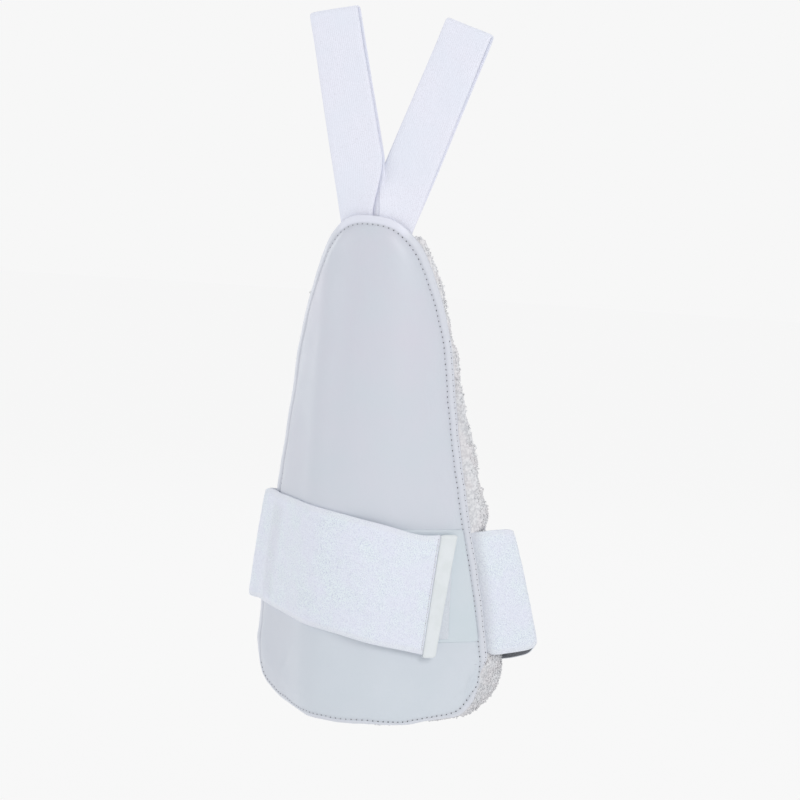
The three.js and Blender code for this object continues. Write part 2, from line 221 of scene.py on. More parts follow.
# The studio. A light's row has its azimuth and elevation in degrees, distance, size, power and colour.
BACKDROP_LEVEL = 0.93
FLOOR_GLOW = 0.9
AMBIENT_LEVEL = 0.56
FLOOR_GAP = 0.16
FLOOR_RINGS = (0.5, 3, 14)
FLOOR_SIDES = 96
VIEW_AZIMUTH = math.radians(19.3)
VIEW_ELEVATION = math.radians(6.7)
VIEW_ROLL = math.radians(3.6)
VIEW_DISTANCE = 1.3
VIEW_RIGHT = 31.7 * MM
VIEW_UP = 45.9 * MM
VIEW_LENS = 95.1
LIGHTS = {
    "key": (52, 30, 1.9, 1.0, 10.9, (1, 0.99, 0.98)),
    "fill": (-64, 14, 2.2, 1.5, 7.8, (0.97, 0.98, 1)),
    "side": (-112, 12, 2.2, 1.2, 6.2, (0.98, 0.99, 1)),
    "rear": (190, 38, 2.4, 1.6, 11, (1, 1, 1)),
    "top": (40, 80, 2.2, 1.4, 3.5, (1, 1, 1)),
}


def smoothstep(value, low, high):
    share = np.clip((value - low) / (high - low), 0, 1)
    return share * share * (3 - 2 * share)


def table_value(table, where):
    """The smooth curve through a table of (where, value) pairs."""
    places, values = np.array(table, float).T
    where = np.clip(where, places[0], places[-1])
    slopes = np.gradient(values, places)
    low = np.clip(np.searchsorted(places, where) - 1, 0, len(places) - 2)
    gap = places[low + 1] - places[low]
    t = (where - places[low]) / gap
    return (
        (2 * t**3 - 3 * t**2 + 1) * values[low]
        + (t**3 - 2 * t**2 + t) * gap * slopes[low]
        + (3 * t**2 - 2 * t**3) * values[low + 1]
        + (t**3 - t**2) * gap * slopes[low + 1]
    )


def rumple(places, size, seed):
    """Smooth noise from about -1 to 1, with lumps about size across."""
    shift = Vector((7.31, 3.17, 5.53)) * seed
    flat = np.asarray(places, float).reshape(-1, 3) / size
    values = [noise.noise(Vector(place) + shift) for place in flat]
    return np.array(values).reshape(np.shape(places)[:-1])


def layered(places, layers):
    """Rumple in layers, in millimetres."""
    return sum(rumple(places, size * MM, seed) * height for size, height, seed in layers)


def ridge_back(height):
    """How far the ridge stands back at a height."""
    return RIDGE_BOW * 4 * (height / PAD_HEIGHT - 0.5) ** 2


SEAT_DEPTH = ridge_back(SEAT_HEIGHT) + LOWER_DEPTH


def arch_angle(along):
    return np.sign(along) * np.minimum(np.abs(along) / RIDGE_RADIUS, FLANK_SLOPE)


def arch_place(along, height, push):
    """A place on the arched face: along is measured from the ridge, push is outward from it."""
    along, height, push = np.broadcast_arrays(along, height, push)
    angle = np.abs(arch_angle(along))
    straight = np.maximum(np.abs(along) - RIDGE_RADIUS * FLANK_SLOPE, 0)
    x = RIDGE_RADIUS * np.sin(angle) + straight * np.cos(angle) + push * np.sin(angle)
    y = RIDGE_RADIUS * (1 - np.cos(angle)) + straight * np.sin(angle) - push * np.cos(angle)
    x = np.sign(along) * x
    return np.stack([x, y + ridge_back(height) - SEAT_DEPTH, height - SEAT_HEIGHT], axis=-1)


def half_width(height):
    """The face's half width along its curve."""
    share = np.clip(height / PAD_HEIGHT, 0, 1)
    down = np.clip(1 - share / WIDEST_HEIGHT, 0, 1)
    up = np.clip((share - TOP_ROUND_FROM) / (1 - TOP_ROUND_FROM), 0, 1)
    low_part = (1 - down**BOTTOM_ROUNDNESS) ** (1 / BOTTOM_ROUNDNESS)
    high_part = table_value(TAPER, share) * (1 - up**TOP_ROUND_POWER) ** (1 / TOP_ROUND_ROOT)
    return FACE_HALF_WIDTH * np.where(share < WIDEST_HEIGHT, low_part, high_part)


def make_outline(count):
    """Evenly spaced places round the flattened face from the bottom's middle, and the way in at each."""
    turn = np.linspace(0, math.pi, 6001)
    height = PAD_HEIGHT * (1 - np.cos(turn)) / 2
    side = np.stack([half_width(height), height], axis=1)
    length = np.concatenate([[0], np.cumsum(np.linalg.norm(np.diff(side, axis=0), axis=1))])
    target = np.linspace(0, length[-1], count // 2 + 1)
    right = np.stack([np.interp(target, length, side[:, axis]) for axis in (0, 1)], axis=1)
    left = right[-2:0:-1] * [-1, 1]
    outline = np.concatenate([right, left])
    along_edge = np.roll(outline, -1, axis=0) - np.roll(outline, 1, axis=0)
    inward = np.stack([-along_edge[:, 1], along_edge[:, 0]], axis=1)
    return outline, inward / np.linalg.norm(inward, axis=1)[:, None]


OUTLINE, _ = make_outline(720)


def distance_inside(along, height):
    """How far inside the outline places in the flattened face lie."""
    along, height = np.broadcast_arrays(along, height)
    places = np.stack([along.ravel(), height.ravel()], axis=1)
    start = OUTLINE
    step = np.roll(OUTLINE, -1, axis=0) - start
    least = np.full(len(places), np.inf)
    for begin, run in zip(start, step):
        share = np.clip(((places - begin) @ run) / (run @ run), 0, 1)
        gap = np.linalg.norm(places - begin - share[:, None] * run, axis=1)
        least = np.minimum(least, gap)
    return least.reshape(along.shape)


# The cover's height over the arch, by the distance inside the outline: a rolled edge, a flange, the sewn
# groove and the rise to the padded face.
COVER_PROFILE = np.array([
    (0, -0.5), (0.35, -0.15), (0.9, 0.05), (2, 0.14), (3.4, 0.16), (4.6, -0.02), (5.5, -0.45), (6.4, 0.1),
    (8, 1.05), (10, 1.8), (13, 2.32), (17, 2.5), (24, 2.5),
]) * MM


# Creases of the face, in millimetres: middle along and up, half length, half width, depth, and their turn
# from upright in degrees.
CREASES = [
    (47.5, 203, 13, 2, 0.7, 11), (55, 222, 9, 2, 0.35, 4), (92, 26, 12, 1.7, 1.8, -25),
    (74, 36, 9, 3.4, 0.5, 40), (66, 143, 14, 2.6, 0.5, 30), (56, 156, 9, 3, 0.4, 22),
    (-52, 30, 14, 4, 0.5, -38), (-68, 150, 12, 3, 0.4, -24), (30, 24, 12, 4, 0.4, 70),
    (-22, 282, 9, 3, 0.3, -20), (12, 48, 14, 4, 0.4, 60), (60, 60, 9, 3, 0.4, 15),
]


def face_rumple(along, height):
    """Soft hollows and swells of the padded face."""
    places = np.stack(np.broadcast_arrays(along, height, 0 * np.asarray(height)), axis=-1)
    broad = rumple(places, 62 * MM, 3) * 0.9
    small = rumple(places * [1, 0.6, 1], 21 * MM, 5) * 0.3
    return (broad + small) * MM


def crease_depth(along, height):
    """How deep the creases are at places on the face."""
    depth = 0
    for middle, up, half_length, half_broad, deep, turn in CREASES:
        turn = math.radians(turn)
        aside, rise = along - middle * MM, height - up * MM
        lengthwise = (rise * math.cos(turn) - aside * math.sin(turn)) / (half_length * MM)
        crosswise = (aside * math.cos(turn) + rise * math.sin(turn)) / (half_broad * MM)
        depth = depth + deep * MM * np.exp(-(lengthwise**2)) * np.exp(-(crosswise**2))
    return depth


def cover_push(inset, along, height):
    """The cover's height over the arch at a place."""
    lift = face_rumple(along, height) * smoothstep(inset, 7 * MM, 30 * MM)
    crease = crease_depth(along, height) * smoothstep(inset, 3 * MM, 7 * MM)
    return table_value(COVER_PROFILE, inset) + lift - crease


def add_item(name, data):
    item = bpy.data.objects.new(name, data)
    bpy.context.scene.collection.objects.link(item)
    return item


class Shell:
    """Collects points and faces of one piece."""

    def __init__(self):
        self.points = []
        self.count = 0
        self.faces = []

    def add(self, points):
        points = np.asarray(points, float).reshape(-1, 3)
        self.points.append(points)
        self.count += len(points)
        return np.arange(self.count - len(points), self.count)

    def strip(self, lower, upper, closed=True):
        """Quads between two rings with as many points."""
        if closed:
            lower = np.append(lower, lower[0])
            upper = np.append(upper, upper[0])
        self.faces += np.stack([lower[:-1], lower[1:], upper[1:], upper[:-1]], axis=1).tolist()

    def halve(self, fine, coarse):
        """Triangles from a ring to one with half as many points."""
        first, middle, last = fine[0::2], fine[1::2], np.roll(fine, -2)[0::2]
        after = np.roll(coarse, -1)
        for corners in ((coarse, first, middle), (coarse, middle, after), (middle, last, after)):
            self.faces += np.stack(corners, axis=1).tolist()

    def finish(self, name, material, attributes=None, uv=None, merge=None):
        mesh = bpy.data.meshes.new(name)
        mesh.materials.append(material)
        mesh.from_pydata(np.concatenate(self.points).tolist(), [], self.faces)
        for key, values in (attributes or {}).items():
            values = np.asarray(values, np.float32)
            kind = "FLOAT" if values.ndim == 1 else "FLOAT_VECTOR"
            layer = mesh.attributes.new(key, kind, "POINT")
            layer.data.foreach_set("value" if values.ndim == 1 else "vector", values.ravel())
        if uv is not None:
            corner = np.empty(len(mesh.loops), np.int32)
            mesh.loops.foreach_get("vertex_index", corner)
            layer = mesh.uv_layers.new(name="lay")
            layer.data.foreach_set("uv", np.asarray(uv, np.float32)[corner].ravel())
        tidy_mesh(mesh, merge)
        return add_item(name, mesh)


def tidy_mesh(mesh, merge=None):
    """Closes doubled points, turns the faces outward and shades them smooth."""
    work = bmesh.new()
    work.from_mesh(mesh)
    if merge:
        bmesh.ops.remove_doubles(work, verts=work.verts, dist=merge)
    bmesh.ops.recalc_face_normals(work, faces=work.faces)
    work.to_mesh(mesh)
    work.free()
    mesh.polygons.foreach_set("use_smooth", np.ones(len(mesh.polygons), bool))
    mesh.update()


def vertex_values(item, key="co"):
    values = np.empty(len(item.data.vertices) * 3)
    item.data.vertices.foreach_get(key, values)
    return values.reshape(-1, 3)


def held_share(item):
    held = np.empty(len(item.data.vertices), np.float32)
    item.data.attributes["held"].data.foreach_get("value", held)
    return held


def move_vertices(item, places):
    item.data.vertices.foreach_set("co", places.ravel())
    item.data.update()


def settle(item):
    """Makes the evaluated shape the piece's own plain mesh and drops its modifiers."""
    bpy.context.view_layer.update()
    graph = bpy.context.evaluated_depsgraph_get()
    mesh = bpy.data.meshes.new_from_object(item.evaluated_get(graph), depsgraph=graph)
    item.modifiers.clear()
    item.data = mesh
    return item


def declare(item, slot, *nodes):
    """Puts a finished piece on its body and hides the nodes that it stands for; its slot is not used."""
    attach(item, BODY)
    if nodes:
        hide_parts(*nodes)
    return item


# Materials.


class NodeMaker:
    """Adds nodes to its tree, with each input a value or a link."""

    def node(self, kind, inputs=None, **settings):
        made = self.tree.nodes.new(kind)
        for key, value in settings.items():
            setattr(made, key, value)
        for key, value in (inputs or {}).items():
            if isinstance(value, bpy.types.NodeSocket):
                self.tree.links.new(value, made.inputs[key])
            else:
                made.inputs[key].default_value = value
        return made

    def math(self, operation, first, second):
        return self.node("ShaderNodeMath", {0: first, 1: second}, operation=operation).outputs[0]


class Finish(NodeMaker):
    """One procedural material, built up node by node."""

    def __init__(self, name, colour, roughness, **sockets):
        self.material = bpy.data.materials.new(name)
        self.material.use_nodes = True
        self.tree = self.material.node_tree
        self.shader = self.tree.nodes["Principled BSDF"]
        self.shader.inputs["Base Color"].default_value = (*colour, 1)
        self.shader.inputs["Roughness"].default_value = roughness
        for socket, value in sockets.items():
            self.shader.inputs[socket.replace("_", " ")].default_value = value
        self.material.diffuse_color = (*colour, 1)
        self.place = self.node("ShaderNodeTexCoord").outputs["Object"]

    def lay(self):
        return self.node("ShaderNodeUVMap", uv_map="lay").outputs["UV"]

    def along(self, axis):
        return self.node("ShaderNodeSeparateXYZ", {"Vector": self.place}).outputs[axis]

    def noise(self, size, detail=2.0, roughness=0.5):
        inputs = {"Vector": self.place, "Scale": 1 / size, "Detail": detail, "Roughness": roughness}
        return self.node("ShaderNodeTexNoise", inputs).outputs["Fac"]

    def cells(self, size, feature="F1"):
        inputs = {"Vector": self.place, "Scale": 1 / size}
        return self.node("ShaderNodeTexVoronoi", inputs, feature=feature).outputs["Distance"]

    def bands(self, vector, size, distortion, direction, detail_scale=1.0):
        inputs = {
            "Vector": vector, "Scale": 1 / size, "Distortion": distortion, "Detail Scale": detail_scale,
        }
        return self.node("ShaderNodeTexWave", inputs, bands_direction=direction).outputs["Fac"]

    def ramp(self, value, low, high, to_low=0.0, to_high=1.0):
        inputs = {"Value": value, "From Min": low, "From Max": high, "To Min": to_low, "To Max": to_high}
        return self.node("ShaderNodeMapRange", inputs).outputs["Result"]

    def attribute(self, name):
        return self.node("ShaderNodeAttribute", attribute_name=name).outputs["Fac"]

    def tint(self, factor, first, second):
        """Mixes two colours, or a colour's socket and a colour, by a factor."""
        mixed = self.node("ShaderNodeMix", data_type="RGBA")
        for number, value in ((0, factor), (6, first), (7, second)):
            if isinstance(value, bpy.types.NodeSocket):
                self.tree.links.new(value, mixed.inputs[number])
            else:
                mixed.inputs[number].default_value = (*value, 1)
        return mixed.outputs[2]

    def over(self, tone, factor, share, colour):
        """Lays a colour over a tone, by a share of a factor."""
        return self.tint(self.math("MULTIPLY", factor, share), tone, colour)

    def bump(self, height, distance, strength, under=None):
        inputs = {"Height": height, "Distance": distance, "Strength": strength}
        if under is not None:
            inputs["Normal"] = under
        return self.node("ShaderNodeBump", inputs).outputs["Normal"]

    def use(self, **links):
        for socket, value in links.items():
            self.tree.links.new(value, self.shader.inputs[socket.replace("_", " ")])
        return self.material


def shaded(colour, *shares):
    """A colour with its three parts times their shares, or all times one share."""
    return tuple(part * share for part, share in zip(colour, shares * 3 if len(shares) == 1 else shares))


def coated_sheet_finish(name, colour, sewn=False):
    """Smooth satin coated sheet with a fine grain and faint marks, darker on its left side as painted shade,
    and, where it is sewn, a painted highlight on its flange and painted shade in its sewn groove.
    """
    finish = Finish(name, colour, 0.42, Specular_IOR_Level=0.42, Coat_Weight=0.08, Coat_Roughness=0.3)
    low = shaded(colour, 1, 1.05, 1.025)
    high = shaded(colour, 0.985, 0.965, 0.97)
    tone = finish.tint(finish.ramp(finish.along("Z"), -70 * MM, 170 * MM), low, high)
    cloud = finish.ramp(finish.noise(34 * MM, 3), 0.35, 0.65, 0.0, 0.5)
    tone = finish.tint(cloud, tone, shaded(colour, 0.94, 1.01, 0.985))
    # Painted shade: the left side, where less light falls, is made darker.
    left = finish.ramp(finish.along("X"), -12 * MM, -55 * MM, 0.0, 0.55)
    tone = finish.tint(left, tone, shaded(colour, 0.88))
    specks = finish.ramp(finish.noise(3.2 * MM, 4, 0.6), 0.66, 0.78)
    tone = finish.over(tone, specks, 0.45, shaded(colour, 0.93))
    if sewn:
        # Painted highlight: the flange outside the seam is made lighter.
        tone = finish.tint(finish.attribute("flange"), tone, shaded(colour, 1.03, 1.04, 1.02))
        tone = finish.tint(finish.attribute("loop_end"), tone, (0.8, 0.815, 0.92))
        # Painted shade: the sewn groove is made darker, most at the needle holes.
        tone = finish.tint(finish.attribute("groove"), tone, shaded(colour, 0.72))
    rough = finish.ramp(finish.noise(14 * MM, 3), 0.3, 0.7, 0.36, 0.5)
    grain = finish.bump(finish.cells(0.75 * MM, "SMOOTH_F1"), 0.03 * MM, 0.55)
    normal = finish.bump(finish.noise(5 * MM, 3), 0.12 * MM, 0.35, grain)
    return finish.use(Base_Color=tone, Roughness=rough, Normal=normal)


def brushed_elastic_finish():
    """Knitted elastic with a brushed pile, smoother along its two selvages."""
    colour = (0.87, 0.945, 1.0)
    finish = Finish(
        "brushed_elastic", colour, 0.9, Specular_IOR_Level=0.25, Sheen_Weight=0.45, Sheen_Roughness=0.5
    )
    selvage = finish.attribute("selvage")
    fibres = finish.noise(0.55 * MM, 3, 0.65)
    tone = finish.over(colour, finish.ramp(fibres, 0.36, 0.52, 1.0, 0.0), 0.95, (0.61, 0.645, 0.8))
    cloud = finish.ramp(finish.noise(16 * MM, 3), 0.38, 0.62)
    tone = finish.over(tone, cloud, 0.5, (0.84, 0.845, 0.99))
    tone = finish.over(tone, selvage, 0.35, (0.8, 0.815, 0.87))
    tone = finish.tint(finish.attribute("shade"), tone, (0.6, 0.62, 0.68))
    # Painted shade: nearly black in the pocket by the strap's right fold.
    tone = finish.tint(finish.attribute("pocket_shade"), tone, (0.1, 0.105, 0.12))
    ribs = finish.bump(finish.bands(finish.lay(), 6.82 * MM, 0.6, "X"), 0.05 * MM, 0.4)
    pile = finish.math("SUBTRACT", 1.0, selvage)
    tufts = finish.math("MULTIPLY", finish.cells(1.15 * MM, "SMOOTH_F1"), pile)
    rough = finish.bump(tufts, 0.6 * MM, 0.55, ribs)
    return finish.use(Base_Color=tone, Normal=finish.bump(fibres, 0.55 * MM, 0.8, rough))


def ribbed_elastic_finish():
    """Flat woven elastic with fine ribs along its length."""
    colour = (0.86, 0.875, 0.975)
    finish = Finish(
        "ribbed_elastic", colour, 0.82, Specular_IOR_Level=0.3, Sheen_Weight=0.2, Sheen_Roughness=0.5
    )
    lay = finish.lay()
    rib = finish.bands(lay, math.pi * 1.3 * MM, 0.35, "Y", 3.0)
    skew = finish.node("ShaderNodeMapping", {"Vector": lay, "Rotation": (0, 0, 0.2)}).outputs["Vector"]
    pick = finish.bands(skew, math.pi * 0.9 * MM, 0.8, "X")
    fibre = finish.noise(0.5 * MM, 3, 0.6)
    tone = finish.over(colour, finish.ramp(rib, 0.0, 0.45, 1.0, 0.0), 0.35, (0.7, 0.7, 0.79))
    tone = finish.tint(finish.ramp(fibre, 0.35, 0.52, 0.7, 0.0), tone, (0.69, 0.7, 0.78))
    cloud = finish.ramp(finish.noise(30 * MM, 3), 0.4, 0.65)
    tone = finish.over(tone, cloud, 0.6, (0.79, 0.83, 0.925))
    ribs = finish.bump(rib, 0.1 * MM, 0.5)
    picks = finish.bump(finish.math("MULTIPLY", pick, rib), 0.04 * MM, 0.3, ribs)
    return finish.use(Base_Color=tone, Normal=finish.bump(fibre, 0.06 * MM, 0.4, picks))


def towelling_finish(name, colour, dark):
    """Looped cotton towelling, off white, with painted shade in the hollows between its loops, and darker
    towards the bottom.
    """
    finish = Finish(name, colour, 0.96, Specular_IOR_Level=0.15, Sheen_Weight=0.25, Sheen_Roughness=0.6)
    # Painted shade in the hollows between the loops.
    tone = finish.over(colour, finish.ramp(finish.cells(1.6 * MM), 0.4, 0.75), 0.5, dark)
    tone = finish.over(tone, finish.ramp(finish.noise(2.6 * MM, 3, 0.65), 0.52, 0.68), 0.6, dark)
    tone = finish.over(tone, finish.ramp(finish.noise(9 * MM, 2), 0.45, 0.62), 0.25, (0.8, 0.735, 0.75))
    low = finish.ramp(finish.along("Z"), -62 * MM, -46 * MM, 0.2, 0.0)
    tone = finish.tint(low, tone, shaded(dark, 0.9))
    return finish.use(Base_Color=tone, Normal=finish.bump(finish.noise(0.8 * MM, 3, 0.6), 0.5 * MM, 0.7))


def pile_finish():
    """Fine loop pile of the fastening patch."""
    colour = (0.68, 0.722, 0.784)
    finish = Finish("loop_pile", colour, 0.9, Specular_IOR_Level=0.2, Sheen_Weight=0.3, Sheen_Roughness=0.5)
    loops = finish.cells(0.8 * MM)
    tone = finish.tint(finish.ramp(loops, 0.3, 0.8, 0.0, 0.5), colour, (0.6, 0.635, 0.69))
    return finish.use(Base_Color=tone, Normal=finish.bump(loops, 0.25 * MM, 0.5))


def tab_finish():
    """Smooth folded plastic band, slightly clouded."""
    colour = (0.77, 0.81, 0.84)
    finish = Finish("smooth_band", colour, 0.4, Specular_IOR_Level=0.4)
    tone = finish.over(colour, finish.ramp(finish.noise(9 * MM, 3), 0.4, 0.65), 0.6, (0.71, 0.755, 0.77))
    rough = finish.ramp(finish.noise(4 * MM, 3), 0.35, 0.65, 0.34, 0.5)
    normal = finish.bump(finish.noise(1.6 * MM, 3), 0.06 * MM, 0.5)
    return finish.use(Base_Color=tone, Roughness=rough, Normal=normal)


def thread_finish():
    """Twisted polyester thread."""
    colour = (0.74, 0.76, 0.8)
    finish = Finish("sewing_thread", colour, 0.6, Sheen_Weight=0.2)
    twist = finish.bands(finish.place, 0.6 * MM, 2.0, "DIAGONAL")
    tone = finish.tint(twist, colour, (0.6, 0.62, 0.67))
    return finish.use(Base_Color=tone, Normal=finish.bump(twist, 0.1 * MM, 0.6))


def needle_hole_finish():
    """Painted shade inside a needle hole: dark on the right side, nearly as dark on the far left, grey in
    between.
    """
    finish = Finish("needle_hole", (0.03, 0.032, 0.04), 0.9, Specular_IOR_Level=0.1)
    shade = finish.ramp(finish.noise(6 * MM, 2), 0.35, 0.65)
    dark = finish.tint(shade, (0.02, 0.021, 0.028), (0.085, 0.088, 0.105))
    across = finish.along("X")
    right = finish.ramp(across, 4 * MM, 26 * MM)
    left = finish.ramp(across, -25 * MM, -60 * MM, 0.0, 0.75)
    return finish.use(Base_Color=finish.tint(finish.math("MAXIMUM", right, left), (0.27, 0.285, 0.32), dark))


def floor_finish():
    """Plain pale studio floor, lit up like a light table so that it matches the backdrop."""
    colour = (0.04, 0.04, 0.04)
    glow = {"Emission_Color": (1, 1, 1, 1), "Emission_Strength": FLOOR_GLOW}
    finish = Finish("pale_floor", colour, 0.9, Specular_IOR_Level=0.0, **glow)
    return finish.use(Base_Color=finish.tint(finish.noise(1.5, 2), colour, (0.042, 0.042, 0.042)))


COVER = coated_sheet_finish("satin_cover", (0.65, 0.667, 0.745), sewn=True)
PANEL = coated_sheet_finish("satin_panel", (0.645, 0.682, 0.75))
BRUSHED = brushed_elastic_finish()
RIBBED = ribbed_elastic_finish()
# The ground under the loops is given a darker colour than the loops: painted shade among the loops.
TOWEL = towelling_finish("towelling_ground", (0.8, 0.81, 0.835), (0.5, 0.51, 0.545))
TOWEL_LOOPS = towelling_finish("towelling_loops", (0.89, 0.9, 0.92), (0.66, 0.67, 0.7))
PILE = pile_finish()
SMOOTH_TAB = tab_finish()
THREAD = thread_finish()
HOLE = needle_hole_finish()


# Geometry node trees.


class Tree(NodeMaker):
    """A geometry node tree with named inputs."""

    def __init__(self, name):
        self.tree = bpy.data.node_groups.new(name, "GeometryNodeTree")
        for way in ("INPUT", "OUTPUT"):
            self.tree.interface.new_socket("Geometry", in_out=way, socket_type="NodeSocketGeometry")
        self.start = self.tree.nodes.new("NodeGroupInput")
        self.end = self.tree.nodes.new("NodeGroupOutput")

    def inputs(self, *entries):
        """Makes the named inputs, for whole numbers or plain ones as their first values are."""
        for name, value in entries:
            kind = "NodeSocketInt" if isinstance(value, int) else "NodeSocketFloat"
            self.tree.interface.new_socket(name, in_out="INPUT", socket_type=kind).default_value = value
        return [self.start.outputs[name] for name, _ in entries]

    def vector(self, x, y, z):
        return self.node("ShaderNodeCombineXYZ", {"X": x, "Y": y, "Z": z}).outputs[0]

    def yarn(self, length, low, aside, top, sides, radius, capped, material):
        """A bent piece of yarn, lying along X, with its middle drawn up and aside."""
        half = self.math("MULTIPLY", length, 0.5)
        line = self.node("GeometryNodeCurveQuadraticBezier", {
            "Resolution": 4,
            "Start": self.vector(self.math("MULTIPLY", half, -1.0), 0.0, low),
            "Middle": self.vector(0.0, self.math("MULTIPLY", half, aside), top),
            "End": self.vector(half, 0.0, low),
        })
        section = self.node("GeometryNodeCurvePrimitiveCircle", {"Resolution": sides, "Radius": radius})
        round_line = {"Curve": line.outputs[0], "Profile Curve": section.outputs[0], "Fill Caps": capped}
        tube = self.node("GeometryNodeCurveToMesh", round_line)
        smooth = self.node("GeometryNodeSetShadeSmooth", {0: tube.outputs[0]})
        return self.coat(smooth, material)

    def coat(self, made, material):
        inputs = {"Geometry": made.outputs[0], "Material": material}
        return self.node("GeometryNodeSetMaterial", inputs).outputs[0]

    def place_all(self, points, item, rotation, scale):
        """Puts an item on the points, makes the copies real and ends the tree."""
        placed = self.node("GeometryNodeInstanceOnPoints", {
            "Points": points, "Instance": item, "Rotation": rotation, "Scale": scale,
        })
        real = self.node("GeometryNodeRealizeInstances", {"Geometry": placed.outputs[0]})
        self.tree.links.new(real.outputs[0], self.end.inputs["Geometry"])
        return self.tree


def stitch_tree():
    """Stitches and their needle holes, evenly spaced along a seam line."""
    tree = Tree("stitches_along_a_seam")
    count, length, pitch, thread, hole, rise, seed = tree.inputs(
        ("Count", 100), ("Stitch Length", 2.7 * MM), ("Pitch", STITCH_PITCH),
        ("Thread Radius", THREAD_RADIUS), ("Hole Radius", HOLE_RADIUS), ("Rise", 0.12 * MM), ("Seed", 3),
    )
    low = tree.math("MULTIPLY", rise, -1.5)
    sewn = tree.yarn(length, low, 0.0, tree.math("MULTIPLY", rise, 2.0), 6, thread, True, THREAD)
    # Each needle hole is a dark lens: painted shade of the hole.
    bead = tree.node("GeometryNodeMeshUVSphere", {"Segments": 8, "Rings": 4, "Radius": hole})
    lens = tree.node("GeometryNodeTransform", {
        "Geometry": bead.outputs[0],
        "Translation": tree.vector(tree.math("MULTIPLY", pitch, 0.5), 0.0, 0.0),
        "Scale": (1.0, 0.9, 0.35),
    })
    both = tree.node("GeometryNodeJoinGeometry")
    tree.tree.links.new(tree.coat(lens, HOLE), both.inputs[0])
    tree.tree.links.new(sewn, both.inputs[0])
    curve = tree.node("GeometryNodeMeshToCurve", {0: tree.start.outputs["Geometry"]})
    even = tree.node("GeometryNodeResampleCurve", {"Curve": curve.outputs[0], "Count": count})
    tangent = tree.node("GeometryNodeInputTangent").outputs[0]
    normal = tree.node(
        "GeometryNodeInputNamedAttribute", {"Name": "surface_normal"}, data_type="FLOAT_VECTOR"
    ).outputs[0]
    turned = tree.node("FunctionNodeAlignRotationToVector", {"Vector": tangent}, axis="X")
    faced = tree.node(
        "FunctionNodeAlignRotationToVector", {"Rotation": turned.outputs[0], "Vector": normal},
        axis="Z", pivot_axis="X",
    )
    size = tree.node(
        "FunctionNodeRandomValue", {2: 0.88, 3: 1.12, "Seed": seed}, data_type="FLOAT"
    ).outputs[1]
    return tree.place_all(even.outputs[0], both.outputs[0], faced.outputs[0], tree.vector(1.0, size, size))


def pile_tree():
    """Towelling loops scattered over a surface, thicker where its density attribute says."""
    tree = Tree("towelling_loops")
    density, gap, height, spread, yarn, seed = tree.inputs(
        ("Loops Per Square Metre", 200000.0), ("Least Gap", 1.2 * MM), ("Loop Height", 1.8 * MM),
        ("Loop Spread", 1.1 * MM), ("Yarn Radius", 0.32 * MM), ("Seed", 5),
    )
    where = tree.node("GeometryNodeInputNamedAttribute", {"Name": "pile"}, data_type="FLOAT").outputs[0]
    surface = {
        "Mesh": tree.start.outputs["Geometry"], "Distance Min": gap, "Density Max": density,
        "Density Factor": where, "Seed": seed,
    }
    points = tree.node("GeometryNodeDistributePointsOnFaces", surface, distribute_method="POISSON")
    top = tree.math("MULTIPLY", height, 2.0)
    loop = tree.yarn(spread, -0.3 * MM, 1.0, top, 3, yarn, False, TOWEL_LOOPS)
    turn = tree.node(
        "FunctionNodeRandomValue",
        {0: (-0.7, -0.7, -3.14), 1: (0.7, 0.7, 3.14), "Seed": tree.math("ADD", seed, 1)},
        data_type="FLOAT_VECTOR",
    ).outputs[0]
    rotation = tree.node("FunctionNodeEulerToRotation", {0: turn}).outputs[0]
    twisted = tree.node(
        "FunctionNodeRotateRotation", {0: points.outputs["Rotation"], 1: rotation}, rotation_space="LOCAL"
    )
    chance = tree.node(
        "FunctionNodeRandomValue", {2: 0.0, 3: 1.0, "Seed": tree.math("ADD", seed, 2)}, data_type="FLOAT"
    ).outputs[1]
    rare = tree.math("MULTIPLY", tree.math("POWER", chance, 26.0), 1.3)
    size = tree.math("ADD", tree.math("MULTIPLY", chance, 0.5), tree.math("ADD", rare, 0.7))
    return tree.place_all(points.outputs["Points"], loop, twisted.outputs[0], size)


STITCHES = stitch_tree()
LOOPS = pile_tree()


def apply_tree(item, group, **values):
    """Runs a tree on a piece with the given inputs and keeps the result as its mesh."""
    modifier = item.modifiers.new("make", "NODES")
    modifier.node_group = group
    sockets = {
        entry.name: entry.identifier
        for entry in group.interface.items_tree
        if entry.item_type == "SOCKET" and entry.in_out == "INPUT"
    }
    for name, value in values.items():
        modifier[sockets[name.replace("_", " ").title()]] = value
    return settle(item)


def polyline_length(points, closed):
    steps = np.diff(np.concatenate([points, points[:1]]) if closed else points, axis=0)
    return np.linalg.norm(steps, axis=1).sum()


def sew(name, points, normals, closed=False, pitch=STITCH_PITCH, **values):
    """A row of stitches along a line on a surface."""
    mesh = bpy.data.meshes.new(name)
    edges = [(index, index + 1) for index in range(len(points) - 1)]
    if closed:
        edges.append((len(points) - 1, 0))
    mesh.from_pydata(np.asarray(points).tolist(), edges, [])
    layer = mesh.attributes.new("surface_normal", "FLOAT_VECTOR", "POINT")
    layer.data.foreach_set("vector", np.asarray(normals, np.float32).ravel())
    item = add_item(name, mesh)
    length = polyline_length(np.asarray(points), closed)
    count = max(2, round(length / pitch))
    even = length / (count if closed else count - 1)
    return apply_tree(item, STITCHES, count=count, pitch=even, **values)


# The cover.


def flat_rings(count, insets, shares, trim=None):
    """Places in the flattened face, ring by ring from the outline to the middle line."""
    outline, inward = make_outline(count)
    extra = 0 if trim is None else trim(outline[:, 1])[:, None]
    rings = [outline + inward * (inset + extra) for inset in insets]
    last = rings[-1]
    height = np.clip(last[:, 1], SPINE_FROM_BOTTOM, PAD_HEIGHT - SPINE_FROM_TOP)
    middle = np.stack([0 * height, height], axis=1)
    return rings + [last + (middle - last) * share for share in shares]


